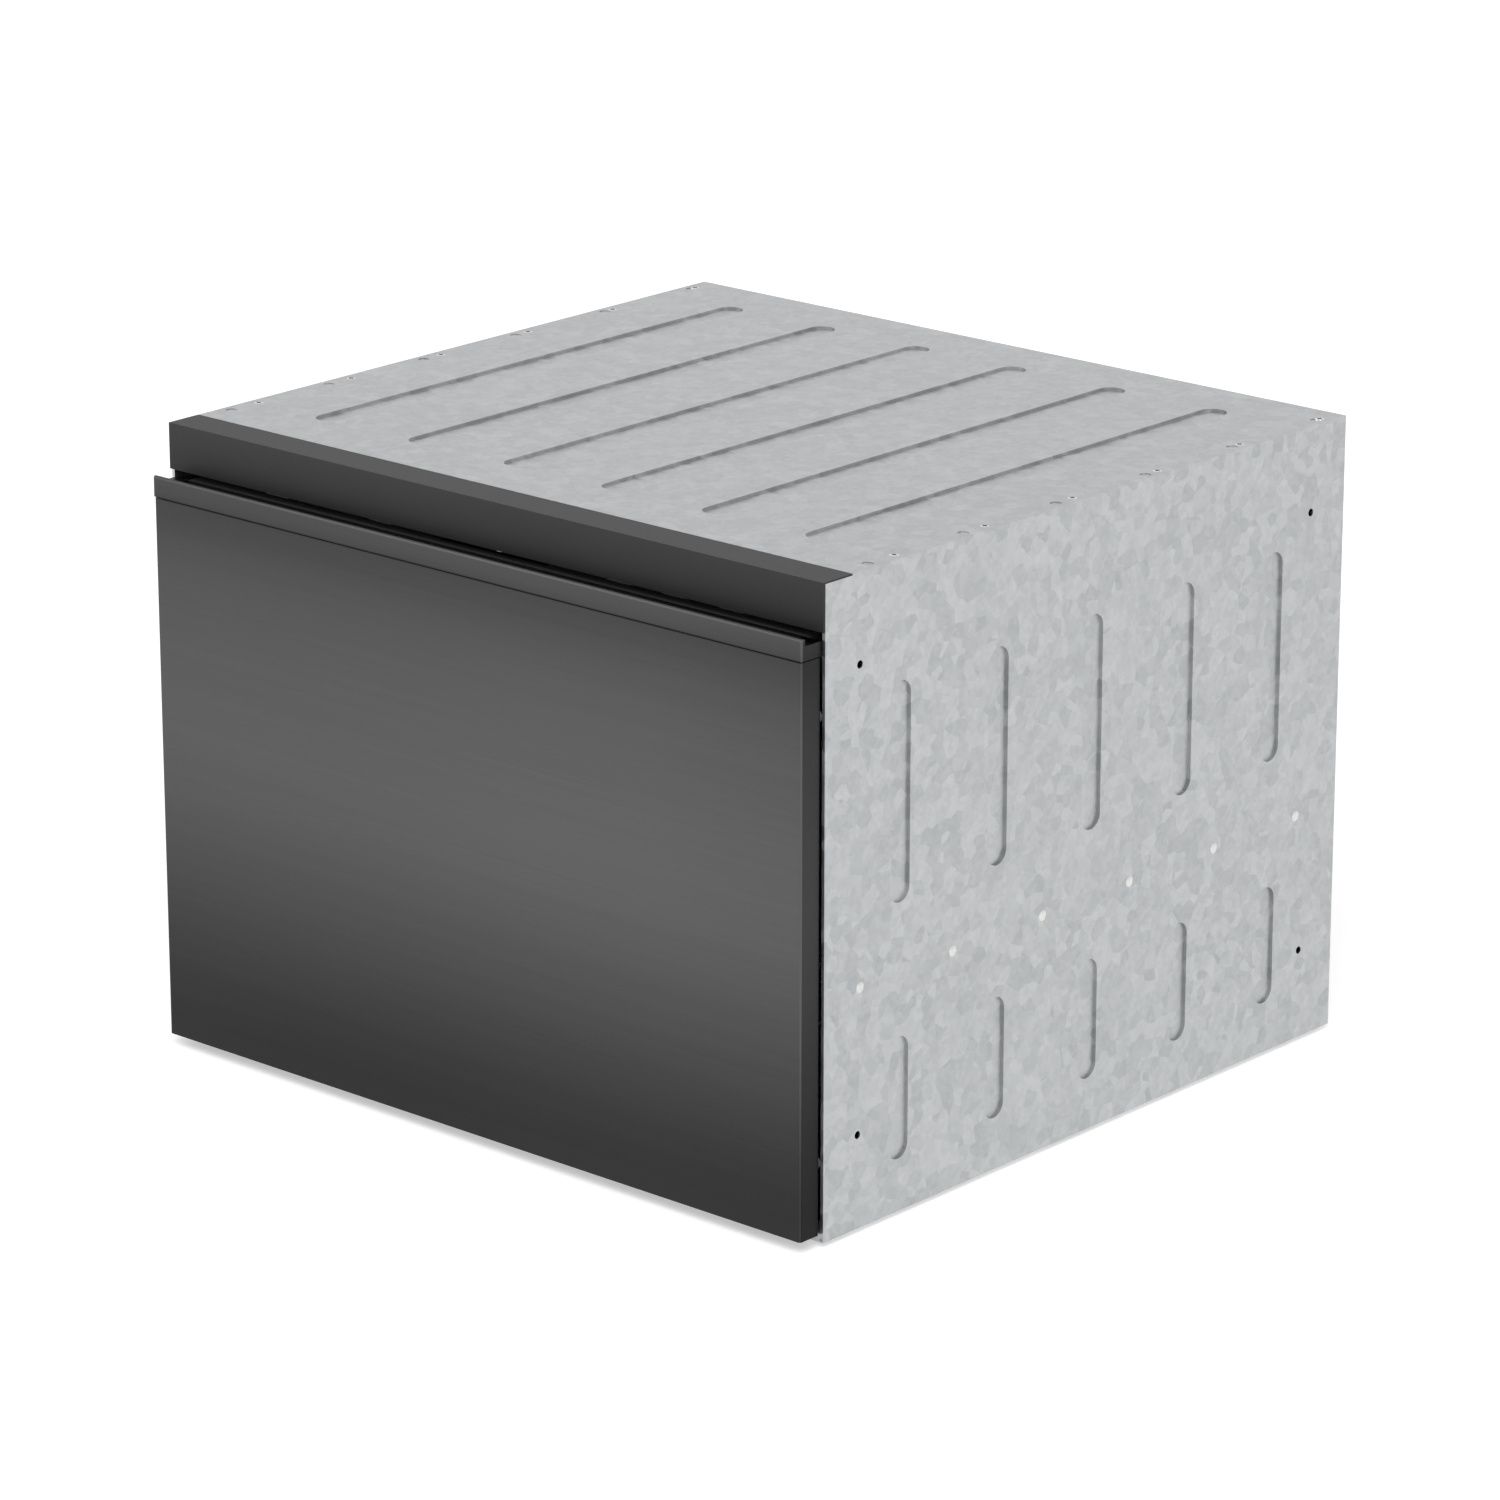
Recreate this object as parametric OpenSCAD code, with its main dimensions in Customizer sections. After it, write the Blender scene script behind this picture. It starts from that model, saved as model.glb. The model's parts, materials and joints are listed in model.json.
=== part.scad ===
// Single built-in dishwasher drawer: a steel chassis that stands in a 600 mm kitchen niche,
// and a wash tub that rolls out of it on telescopic runners behind a dark steel front.
// Millimetres. X runs across the front, -Y faces the room, +Z is up.
// The origin is the middle of the bounding box at the underside of the pads.

/* [Overall] */
// Width over the side panels
overall_w = 599; // [597:1:603]
// Depth from the face of the front to the rear edges of the side panels
overall_d = 573; // [568:1:595]
// Height from the underside of the pads to the top cover
overall_h = 454; // [450:1:480]

/* [Drawer front] */
// Width of the steel front
front_w = 594; // [590:1:595]
// Height of the open band above the front, up to the worktop
niche_h = 34; // [30:1:42]
// Clearance under the foot of the front
front_clear = 9.5; // [6:0.5:14]
// Depth of the folded steel front
front_depth = 19; // [17:0.5:22]
// Thickness of the front's steel sheet
front_sheet = 1; // [0.8:0.1:1.4]
// Radius of the folds down the front's edges
front_fold_r = 2; // [1.6:0.1:2.6]
// Width of the lips folded in behind the front
front_lip = 11; // [8:1:14]
// Height of the grip strip's face
grip_h = 15; // [12:1:18]
// Open seam between the grip strip and the steel front
seam = 0.7; // [0.4:0.1:1]
// Wall of the finger trough
trough_t = 2; // [1.6:0.1:2.4]
// Depth of the finger trough below the top of the grip
trough_depth = 34; // [28:1:38]

/* [Chassis] */
// Thickness of the chassis sheet
sheet_t = 1.2; // [1:0.1:1.4]
// Height of the pads under the side panels
pad_h = 4; // [3:0.5:6]
// Radius of a pad
pad_r = 14; // [10:1:18]
// Width of the flanges folded in along the side panels
flange_w = 14; // [12:1:18]
// Gap between the back of the front and the chassis
front_gap = 1; // [0.6:0.1:2]
// Height of the tray's turned-up edges
tray_lip = 14; // [10:1:16]
// How far the rear skin stands in from the rear edges
rear_inset = 3; // [2.6:0.1:5]
// Depth of the pressed stiffening beads
bead_depth = 2.2; // [1:0.2:2.6]
// Width of a pressed bead
bead_w = 20; // [14:1:24]
// Radius of the fixing holes to the cabinet
fixing_r = 2.75; // [2:0.25:3.5]
// Depth of the service pockets in the rear skin
pocket_depth = 27; // [24:1:30]
// Height of the service pockets
pocket_h = 56; // [52:1:58]

/* [Tub] */
// Wall of the moulded tub
tub_wall = 3; // [2.5:0.5:4]
// Space between a side panel and the tub
tub_side_gap = 30.3; // [29:0.1:34]
// Space between the chassis front and the tub
tub_front_gap = 44; // [42:1:50]
// Space between the tub and the rear skin
tub_rear_gap = 35; // [32:1:48]
// Width of the rim turned out around the mouth
rim_w = 8; // [7:1:9]
// Distance from the top of the machine down to the rim
rim_drop = 48; // [46:1:54]
// Height of the tub's inner floor
tub_floor_z = 88; // [86:1:96]
// Radius of the tub's inner corners
tub_r = 25; // [18:1:32]
// Radius of the pump well
well_r = 60; // [56:1:64]
// Depth of the pump well below the tub's floor
well_depth = 22; // [20:1:24]

/* [Runners] */
// Height of the runner's middle line
runner_z = 172; // [160:1:200]
// Height of the outer runner member
runner_h = 45; // [40:1:50]
// Thickness of the closed runner
runner_w = 12.7; // [12.2:0.1:13.4]
// Thickness of the runner's steel
runner_t = 1.2; // [1:0.1:1.3]
// Running gap between runner members
runner_gap = 0.45; // [0.3:0.05:0.6]
// Drawer travel
travel = 510; // [490:1:515]

/* [Lid] */
// Travel of the lid from raised to sealed
lid_travel = 14; // [12:1:15]
// Thickness of the lid's plate
lid_t = 3; // [2.5:0.5:4]
// Height of the lid's stiffening ribs
lid_rib_h = 8; // [5:1:9]
// Width of the rubber seal
seal_w = 8; // [6:1:8]
// Height of the rubber seal
seal_h = 7; // [5:1:8]
// Module of the lid racks and pinions
gear_module = 2; // [1.8:0.1:2.2]
// Teeth on a lid pinion
pinion_teeth = 12; // [12:1:13]

/* [Wash system] */
// Radius of the fixed spindle
spindle_r = 5; // [4:0.5:6]
// Running clearance of everything that turns on a pin
running = 0.05; // [0.03:0.01:0.08]
// Radius swept by the spray arm
spray_r = 212; // [190:1:218]
// Thickness of the spray arm
spray_t = 13; // [10:1:14]
// Radius of the drain filter
filter_r = 33; // [28:1:34]

/* [Racks] */
// Radius of the basket wires
wire_r = 2; // [1.6:0.1:2.4]
// Height of the basket's floor wires
rack_z = 134; // [133:1:140]
// Height of the basket's walls
rack_h = 90; // [70:5:100]
// Spacing of the basket's floor wires
wire_pitch = 42; // [36:1:50]
// Height of a folding tine
tine_h = 74; // [60:1:80]
// Spacing of the folding tines
tine_pitch = 30; // [26:1:36]
// Width of a fold-up cup shelf
shelf_w = 96; // [80:1:110]
// Length of a fold-up cup shelf
shelf_l = 290; // [240:10:300]

/* [Controls] */
// Length of a button cap
button_l = 24; // [18:1:28]
// Width of a button cap
button_w = 10; // [8:1:12]
// Travel of a button
button_travel = 1; // [0.8:0.1:1.2]
// Spacing of the buttons
button_pitch = 50; // [40:1:60]
// Distance from the last button to the end of the console
button_inset = 75; // [60:1:90]
// Length of the display window
window_l = 90; // [70:1:110]

/* [Hose link] */
// Distance between the pivots of a link arm
link_l = 300; // [290:5:320]
// Width of a link arm
link_w = 32; // [28:1:36]
// Height of a link arm
link_h = 14.4; // [12:0.2:15]
// Radius of the link's pins
link_pin_r = 6; // [5:0.5:7]

/* [Hidden] */
$fn = 64;
seat = 0.3;   // clearance where a moving piece rests against its neighbour
weld = 0.3;   // overlap of crossed wires at their welds

// Planes across the depth
front_y = -overall_d / 2;
rear_y = overall_d / 2;
front_back_y = front_y + front_depth;
chassis_y = front_back_y + front_gap;
rear_skin_y = rear_y - rear_inset;
rear_in_y = rear_skin_y - sheet_t;
hem_w = 5;

// Planes across the width
side_x = overall_w / 2;
side_in_x = side_x - sheet_t;
hem_x = side_in_x - sheet_t;

// Planes up the height
tray_z = pad_h + sheet_t;
tray_top_z = tray_z + sheet_t;
tray_lip_z = tray_z + tray_lip;
cover_z = overall_h - sheet_t;
front_top_z = overall_h - niche_h;
seam_z = front_top_z - grip_h;
panel_top_z = seam_z - seam;
trough_z = front_top_z - trough_depth;
fascia_z = front_top_z + 1;
console_top_z = front_top_z - 5;
rim_z = overall_h - rim_drop;

// The tub's walls
tub_x = side_in_x - tub_side_gap;
tub_in_x = tub_x - tub_wall;
tub_y0 = chassis_y + tub_front_gap;
tub_y1 = rear_in_y - tub_rear_gap;
tub_in_y0 = tub_y0 + tub_wall;
tub_in_y1 = tub_y1 - tub_wall;
tub_mid_y = (tub_y0 + tub_y1) / 2;
tub_bottom_z = tub_floor_z - tub_wall;
well_floor_z = tub_floor_z - well_depth;
well_bottom_z = well_floor_z - tub_wall;
rim_t = 3;

// The runners lie against the side panels
runner_setback = 6;
runner_y0 = chassis_y + runner_setback;
runner_len = rear_in_y - runner_y0 - 12;
runner_in_x = side_in_x - runner_w;
bracket_t = 1.5;
ledge_z = runner_z + runner_h / 2;
tub_ledge_z = ledge_z + bracket_t;

// The carrier behind the steel front
carrier_t = 2;
carrier_x = side_in_x - 8;
carrier_z = tray_lip_z + 3;
carrier_frame_x = tub_x - 6;
carrier_frame_z = tub_bottom_z + 8;
trough_x = front_w / 2 - front_lip - 1.5;

// The console on the carrier
console_y1 = tub_y0 - rim_w - 1;
console_t = 2.5;
console_mid_y = (chassis_y + console_y1) / 2;
console_x = runner_in_x - bracket_t - seat;
button_end_x = console_x - button_inset;
button_near_x = window_l / 2 + 65;
button_x = [-button_end_x, -button_near_x, button_near_x, button_end_x - button_pitch, button_end_x];
button_proud = 0.6;
button_flange_t = 1.5;
button_flange = 2;
board_z = console_top_z - 13;
board_t = 1.6;

// The lid over the rim
seal_z = rim_z + lid_travel + seat;
lid_frame_z = seal_z + seal_h;
lid_plate_z = lid_frame_z + 6;
lid_top_z = lid_plate_z + lid_t;
lid_x = tub_x + rim_w - 2;
lid_y0 = tub_y0 - rim_w + 2;
lid_y1 = tub_y1 + rim_w - 2;
lid_mid_y = (lid_y0 + lid_y1) / 2;
lid_d = lid_y1 - lid_y0;

// Lid racks and pinions, one pair on each side
addendum = 0.7 * gear_module;
dedendum = 0.95 * gear_module;
backlash = 0.35;
pitch_r = gear_module * pinion_teeth / 2;
tooth_pitch = PI * gear_module;
gear_w = 6;
gear_x = side_in_x - 11.3;
rack_bar_w = 8;
rack_mid_y = lid_mid_y - 70;
rack_root_y = rack_mid_y + rack_bar_w / 2;
rack_pitch_y = rack_root_y + dedendum;
pinion_y = rack_pitch_y + pitch_r;
pinion_z = lid_plate_z - 16;
pinion_pin_r = 3;
actuator_t = 3;

// The hose link folds under the tub
link_x = -150;
link_pivot_h = 1.6;
link_low_z = tray_top_z + link_pivot_h + seat;
link_high_z = link_low_z + link_h + seat;
link_foot_z = link_high_z + link_h + seat;
link_tip_y = tub_y1 - tub_wall - tub_r - 12;
link_base_y = link_tip_y - travel / 2;
link_angle = asin(travel / 4 / link_l);
link_elbow = [link_x + link_l * cos(link_angle), link_base_y + link_l * sin(link_angle)];
link_tip_hole_r = link_pin_r + 4.5;
link_end_r = link_w / 2;

// Wash system on the tub's middle line
motor_z = 32;
motor_boss_r = 8;
rotor_z = well_floor_z + 2 + seat;
rotor_h = 12;
spray_hub_z = rotor_z + rotor_h + 3;
spray_z = tub_floor_z + 9;
spray_top_z = spray_z + spray_t + 2;
spindle_top_z = spray_top_z + seat;
filter_x = 150;
filter_y = tub_mid_y - 118;
plate_t = 3;
plate_top_z = tub_floor_z + plate_t;

// The basket and what stands on it
rack_side_gap = 10;
rack_x = tub_in_x - rack_side_gap;
rack_y0 = tub_in_y0 + 16;
rack_y1 = tub_in_y1 - 10;
rack_mid = (rack_y0 + rack_y1) / 2;
rack_floor_z = rack_z + 3 * wire_r - weld;
rack_top_z = rack_z + rack_h;
rail_r = wire_r + 0.5;
tine_rod_z = rack_floor_z + seat + rail_r;
tine_front_y = rack_y0 + 70;
tine_rear_y = tine_front_y + 118;
clip_w = 10;
shelf_z = rack_top_z + 9;
shelf_rod_x = rack_x - wire_r - clip_w / 2 - 1;
shelf_y0 = rack_y0 + 14;
basket_t = 2;
basket_x = 120;
basket_d = 72;
basket_h = 108;
basket_y0 = rack_y1 - basket_d - 8;

// The dispenser in the tub's front wall
dispenser_x0 = -105;
dispenser_x1 = 55;
dispenser_z0 = rim_z - 142;
dispenser_z1 = rim_z - 58;
dispenser_face = 4;
dispenser_face_y = tub_in_y0 + dispenser_face;
cup_w = 74;
cup_x0 = dispenser_x0 + 12;
cup_z0 = dispenser_z0 + 14;
cup_h = dispenser_z1 - dispenser_z0 - 26;
door_pin_r = 2;
rinse_x = dispenser_x1 - 30;
rinse_z = (dispenser_z0 + dispenser_z1) / 2;
rinse_r = 17;

// ---------- helpers ----------

// Draws the children on the right side, or mirrored on the left.
module on_side(side) {
    if (side > 0) children();
    else mirror([1, 0, 0]) children();
}

// A block between two corners.
module block(x0, x1, y0, y1, z0, z1) {
    translate([x0, y0, z0]) cube([x1 - x0, y1 - y0, z1 - z0]);
}

module rounded_rect(w, d, r) {
    square([w - 2 * r, d], center = true);
    square([w, d - 2 * r], center = true);
    for (x = [-1, 1], y = [-1, 1]) translate([x * (w / 2 - r), y * (d / 2 - r)]) circle(r = r);
}

module slab(w, d, h, r) {
    linear_extrude(height = h) rounded_rect(w, d, r);
}

// A block with round upright edges and a round bottom edge, both of radius r.
module bowl(w, d, h, r) {
    translate([0, 0, r]) slab(w, d, h - r, r);
    block(r - w / 2, w / 2 - r, r - d / 2, d / 2 - r, 0, r + 1);
    for (s = [-1, 1]) {
        translate([0, s * (d / 2 - r), r]) rotate([0, 90, 0])
            cylinder(h = w - 2 * r, r = r, center = true);
        translate([s * (w / 2 - r), 0, r]) rotate([90, 0, 0])
            cylinder(h = d - 2 * r, r = r, center = true);
    }
    for (x = [-1, 1], y = [-1, 1]) translate([x * (w / 2 - r), y * (d / 2 - r), r]) sphere(r = r);
}

// Round bars along the three axes, from one point.
module bar_x(x0, x1, y, z, r) {
    translate([x0, y, z]) rotate([0, 90, 0]) cylinder(h = x1 - x0, r = r);
}
module bar_y(y0, y1, x, z, r) {
    translate([x, y0, z]) rotate([-90, 0, 0]) cylinder(h = y1 - y0, r = r);
}
module bar_z(z0, z1, x, y, r) {
    translate([x, y, z0]) cylinder(h = z1 - z0, r = r);
}

// A slot outline with round ends, along its own X.
module stadium(length, width) {
    square([length - width, width], center = true);
    for (s = [-1, 1]) translate([s * (length - width) / 2, 0]) circle(d = width);
}

// ---------- chassis ----------

// Upright beads on a side panel: [distance from the chassis front, lowest point, highest point].
side_bead_z = [[tray_lip_z + 22, runner_z - runner_h / 2 - 22],
               [runner_z + runner_h / 2 + 26, rim_z - 34]];
side_bead_y = [for (i = [0:4]) chassis_y + 75 + i * (rear_in_y - chassis_y - 150) / 4];

module side_beads(grow, depth0, depth1) {
    for (y = side_bead_y, z = side_bead_z)
        translate([side_x - depth1, y, (z[0] + z[1]) / 2]) rotate([0, 90, 0])
            linear_extrude(height = depth1 - depth0) stadium(z[1] - z[0] + grow, bead_w + grow);
}

fixing_y = [chassis_y + 34, rear_in_y - 34];
fixing_z = [pad_h + 66, overall_h - 62];
rear_screw_z = [46, 176, 306, overall_h - 26];
rear_screw_x = side_in_x - flange_w / 2;
rear_screw_r = 2;

module side_panel(side) color("#a9adb0") on_side(side) difference() {
    union() {
        block(side_in_x, side_x, chassis_y, rear_y, pad_h, cover_z);
        block(side_in_x - flange_w, side_x, chassis_y, rear_in_y, cover_z - sheet_t, cover_z);
        block(side_in_x - flange_w, side_x, chassis_y, rear_in_y, pad_h, tray_z);
        block(hem_x, side_x, chassis_y, chassis_y + hem_w, tray_z, cover_z - sheet_t);
        block(side_in_x - flange_w, side_x, rear_in_y - sheet_t, rear_in_y,
              tray_lip_z + 1, cover_z - sheet_t - 1);
        side_beads(2 * sheet_t, 0.1, bead_depth + sheet_t);
    }
    side_beads(0, -1, bead_depth);
    for (y = fixing_y, z = fixing_z) bar_x(side_in_x - 1, side_x + 1, y, z, fixing_r);
    for (z = rear_screw_z) bar_y(rear_in_y - 5, rear_in_y + 1, rear_screw_x, z, rear_screw_r);
}

pad_x = side_in_x - flange_w - pad_r - 6;
pad_y = [chassis_y + 44, rear_in_y - 44];
pad_stem_r = 3;

// The drip tray closes the bottom and carries the pivot of the hose link.
module base_tray() color("#9da1a4") difference() {
    union() {
        block(-side_in_x, side_in_x, chassis_y, rear_in_y, tray_z, tray_top_z);
        block(-hem_x, hem_x, chassis_y, chassis_y + sheet_t, tray_z, tray_lip_z);
        block(-side_in_x, side_in_x, rear_in_y - sheet_t, rear_in_y, tray_z, tray_lip_z);
        for (s = [-1, 1]) on_side(s)
            block(hem_x, side_in_x, chassis_y + hem_w, rear_in_y, tray_z, tray_lip_z);
        translate([link_x, link_base_y, tray_z]) cylinder(h = sheet_t + link_pivot_h, r = 11);
        translate([link_x, link_base_y, tray_z])
            cylinder(h = link_high_z - tray_z - 2 * seat, r = link_pin_r);
    }
    for (x = [-1, 1], y = pad_y) translate([x * pad_x, y, tray_z - 1])
        cylinder(h = sheet_t + 2, r = pad_stem_r + 0.1);
}

module base_pads() color("#2b2c2d") for (x = [-1, 1], y = pad_y) translate([x * pad_x, y, 0]) {
    cylinder(h = tray_z, r = pad_r);
    cylinder(h = tray_top_z + 2, r = pad_stem_r);
}

// Service pockets in the rear skin: [left, right]. Their mouths face the wall.
pocket_x = [[-252, -112], [140, 236]];
pocket_z = tray_lip_z + 6;
inlet_x = -212;
outlet_x = -150;
power_x = 188;
service_z = pocket_z + pocket_h / 2;
pocket_y = rear_skin_y - pocket_depth;
inlet_r = 13.1;
inlet_hole_r = 14.5;
outlet_r = 10;
outlet_hole_r = 11.5;
gland_r = 8;

module rear_vents() {
    for (i = [0:13], s = [-1, 1]) translate([s * 120 + (i - 6.5) * 14, rear_in_y - 1, overall_h - 96])
        cube([5, sheet_t + 2, 44]);
}

module rear_panel() color("#9b9fa2") difference() {
    union() {
        block(-side_in_x, side_in_x, rear_in_y, rear_skin_y, pad_h, cover_z);
        for (p = pocket_x) block(p[0] - sheet_t, p[1] + sheet_t, pocket_y - sheet_t, rear_skin_y,
                                 pocket_z - sheet_t, pocket_z + pocket_h + sheet_t);
        translate([0, rear_in_y, overall_h / 2 + 24]) rotate([90, 0, 0])
            linear_extrude(height = bead_depth) {
                stadium(460 + 2 * sheet_t, bead_w + 2 * sheet_t);
                translate([0, -60]) stadium(460 + 2 * sheet_t, bead_w + 2 * sheet_t);
            }
    }
    for (p = pocket_x) block(p[0], p[1], pocket_y, rear_y, pocket_z, pocket_z + pocket_h);
    translate([0, rear_y, overall_h / 2 + 24]) rotate([90, 0, 0])
        linear_extrude(height = rear_inset + bead_depth) {
            stadium(460, bead_w);
            translate([0, -60]) stadium(460, bead_w);
        }
    bar_y(pocket_y - 5, pocket_y + 1, inlet_x, service_z, inlet_hole_r);
    bar_y(pocket_y - 5, pocket_y + 1, outlet_x, service_z, outlet_hole_r);
    bar_y(pocket_y - 5, pocket_y + 1, power_x, service_z, gland_r + 0.5);
    for (s = [-1, 1], z = rear_screw_z)
        bar_y(rear_in_y - 1, rear_skin_y + 1, s * rear_screw_x, z, rear_screw_r);
    rear_vents();
}

// Pan-head screws that hold the rear skin to the side panels.
module rear_screws() color("#c9ccce") for (s = [-1, 1], z = rear_screw_z)
    translate([s * rear_screw_x, rear_skin_y, z]) rotate([-90, 0, 0]) {
        difference() {
            cylinder(h = 2.2, r = 4);
            translate([-2.6, -0.5, 1.2]) cube([5.2, 1, 2]);
            translate([-0.5, -2.6, 1.2]) cube([1, 5.2, 2]);
        }
        translate([0, 0, -6]) cylinder(h = 6, r = rear_screw_r - running);
    }

cover_bead_x = [for (i = [-5:2:5]) i * (side_x - 74.5) / 5];
fascia_flange = 28;
cover_y0 = chassis_y + fascia_flange - 2 + 0.4;

module cover_beads(grow, depth) {
    for (x = cover_bead_x)
        translate([x, (cover_y0 + rear_y) / 2, overall_h - depth]) rotate([0, 0, 90])
            linear_extrude(height = depth) stadium(rear_y - cover_y0 - 90 + grow, bead_w + grow);
}

// The top cover is one pressed sheet with its rear edge folded down.
module top_cover() color("#b3b7ba") difference() {
    union() {
        block(-side_x, side_x, cover_y0, rear_y, cover_z, overall_h);
        block(-side_in_x, side_in_x, rear_y - sheet_t, rear_y, overall_h - 10, overall_h);
        cover_beads(2 * sheet_t, bead_depth + sheet_t);
    }
    translate([0, 0, 0.01]) cover_beads(0, bead_depth);
    for (s = [-1, 1], i = [0:5])
        translate([s * (side_in_x - flange_w / 2), cover_y0 + 24 + i * (rear_y - cover_y0 - 48) / 5,
                   overall_h - 0.6]) cylinder(h = 1, r = 4);
}

// Dark fascia across the top of the chassis: the band that shows above the drawer's front.
module top_fascia() color("#3a3b3c") {
    block(-side_x, side_x, chassis_y - 2, chassis_y, fascia_z, overall_h);
    block(-side_x, side_x, chassis_y - 2, chassis_y - 2 + fascia_flange, cover_z, overall_h);
    block(-hem_x + 1, hem_x - 1, chassis_y - 2, chassis_y + 10, fascia_z, fascia_z + 2);
    for (i = [-4:4]) block(i * 66 - 1, i * 66 + 1, chassis_y - 1, chassis_y + 9, fascia_z, cover_z);
}

// ---------- services on the rear skin ----------

module inlet_valve() color("#d8d9d6") {
    bar_y(pocket_y, pocket_y + 3, inlet_x, service_z, 19);
    bar_y(pocket_y - sheet_t - 34, pocket_y, inlet_x, service_z, inlet_r);
    bar_y(pocket_y, rear_y - 6, inlet_x, service_z, inlet_r);
    block(inlet_x - 20, inlet_x + 20, pocket_y - sheet_t - 50, pocket_y - sheet_t - 14,
          service_z - 20, service_z + 20);
    bar_y(pocket_y - sheet_t - 64, pocket_y - sheet_t - 48, inlet_x, service_z - 6, 6);
}

module drain_outlet() color("#8d9092") {
    bar_y(pocket_y, pocket_y + 3, outlet_x, service_z, 17);
    bar_y(pocket_y - sheet_t - 26, pocket_y, outlet_x, service_z, outlet_r);
    bar_y(pocket_y, rear_y - 5, outlet_x, service_z, outlet_r);
}

// Terminal box with the cord gland; its bore is where the mains cord enters.
gland_bore_r = 4.5;
module power_inlet() color("#2f3031") difference() {
    union() {
        block(power_x - 34, power_x + 34, pocket_y - sheet_t - 36, pocket_y - sheet_t,
              service_z - 24, service_z + 24);
        bar_y(pocket_y - sheet_t - 1, pocket_y + 18, power_x, service_z, gland_r);
        translate([power_x, pocket_y, service_z]) rotate([-90, 0, 0]) cylinder(h = 6, r = 13, $fn = 6);
    }
    bar_y(pocket_y - sheet_t - 30, pocket_y + 19, power_x, service_z, gland_bore_r);
}

// ---------- runners ----------

// Runner sections, drawn with X from the side panel inwards and Y up.
module channel(x0, depth, height, t) {
    translate([x0, -height / 2]) square([t, height]);
    for (s = [-1, 1]) translate([x0, s * (height - t) / 2 - t / 2]) square([depth, t]);
}

middle_h = runner_h - 2 * runner_t - 2 * runner_gap;
inner_h = middle_h - 2 * runner_t - 2 * runner_gap;
middle_x = runner_t + runner_gap;
inner_x = middle_x + runner_t + runner_gap;

// Stretches a section along the runner on the right side.
module along_runner(y0, len) {
    translate([side_in_x, y0 + len, runner_z]) rotate([90, 0, 0]) mirror([1, 0, 0])
        linear_extrude(height = len) children();
}

module runner_outer(side) color("#c3c6c8") on_side(side)
    along_runner(runner_y0, runner_len) channel(0, runner_w - 3.2, runner_h, runner_t);

module runner_middle(side) color("#cfd2d4") on_side(side)
    along_runner(runner_y0 + 2, runner_len - 4)
        channel(middle_x, runner_w - 2.2 - middle_x, middle_h, runner_t);

// The drawer's runner member, with the angle welded to it that carries the tub.
module runner_inner(side) color("#bcbfc1") on_side(side) {
    along_runner(runner_y0 + 1, runner_len - 2) {
        translate([runner_w - runner_t, -inner_h / 2]) square([runner_t, inner_h]);
        for (s = [-1, 1]) translate([inner_x, s * (inner_h - runner_t) / 2 - runner_t / 2])
            square([runner_w - inner_x, runner_t]);
    }
    block(runner_in_x - bracket_t, runner_in_x, front_back_y + carrier_t, runner_y0 + runner_len,
          ledge_z - runner_h, tub_ledge_z);
    block(tub_x + seat, runner_in_x, front_back_y + carrier_t, tub_y1, ledge_z, tub_ledge_z);
}

// ---------- lid and its drive ----------

module lid_outline(inset) {
    translate([0, lid_mid_y]) rounded_rect(2 * (lid_x - inset), lid_d - 2 * inset, tub_r + 4 - inset);
}

module lid_shell() color("#d3d6d6") {
    translate([0, 0, lid_plate_z]) linear_extrude(height = lid_t) lid_outline(0);
    translate([0, 0, lid_frame_z]) linear_extrude(height = lid_plate_z - lid_frame_z + 0.5)
        difference() {
            lid_outline(0);
            lid_outline(seal_w + 4);
        }
    difference() {
        translate([0, 0, lid_top_z - 0.5]) linear_extrude(height = lid_rib_h + 0.5) {
            difference() {
                lid_outline(6);
                lid_outline(9);
            }
            for (x = [-160, -80, 0, 80, 160]) translate([x - 1.25, lid_y0 + 8]) square([2.5, lid_d - 16]);
            for (y = [-120, 0, 120]) translate([-lid_x + 8, lid_mid_y + y - 1.25])
                square([2 * lid_x - 16, 2.5]);
        }
    }
}

module lid_seal() color("#3c3e40") translate([0, 0, seal_z]) linear_extrude(height = seal_h)
    difference() {
        lid_outline(1);
        lid_outline(1 + seal_w);
    }

// One rack tooth, root to tip, pointing along its own +X.
module rack_tooth() {
    half = tooth_pitch / 4 - backlash / 2;
    slope = tan(20);
    polygon([[-dedendum, -half - dedendum * slope], [addendum, -half + addendum * slope],
             [addendum, half - addendum * slope], [-dedendum, half + dedendum * slope]]);
}

// A rack hangs from an ear on the lid's edge and runs down beside the tub.
module lid_rack(side) color("#e2e2de") on_side(side) {
    block(lid_x, gear_x + gear_w, rack_mid_y - rack_bar_w / 2, rack_root_y, lid_plate_z - 2, lid_plate_z + 4);
    block(gear_x, gear_x + gear_w, rack_mid_y - rack_bar_w / 2, rack_root_y,
          pinion_z - 3 * tooth_pitch, lid_plate_z + 4);
    translate([gear_x, rack_pitch_y, pinion_z]) rotate([90, 0, 90]) linear_extrude(height = gear_w)
        for (k = [-2:2]) translate([0, k * tooth_pitch]) rack_tooth();
}

// Involute pinion: flank points from the base circle to the tip.
base_r = pitch_r * cos(20);
tip_r = pitch_r + addendum;
root_r = pitch_r - dedendum;
function roll(r) = sqrt(max(0, pow(r / base_r, 2) - 1)) * 180 / PI;
function inv_angle(r) = roll(r) - atan(roll(r) * PI / 180);
half_tooth = 90 / pinion_teeth - backlash / 2 / pitch_r * 180 / PI + inv_angle(pitch_r);
flank_r = [for (i = [0:4]) base_r + (tip_r - base_r) * i / 4];

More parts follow.
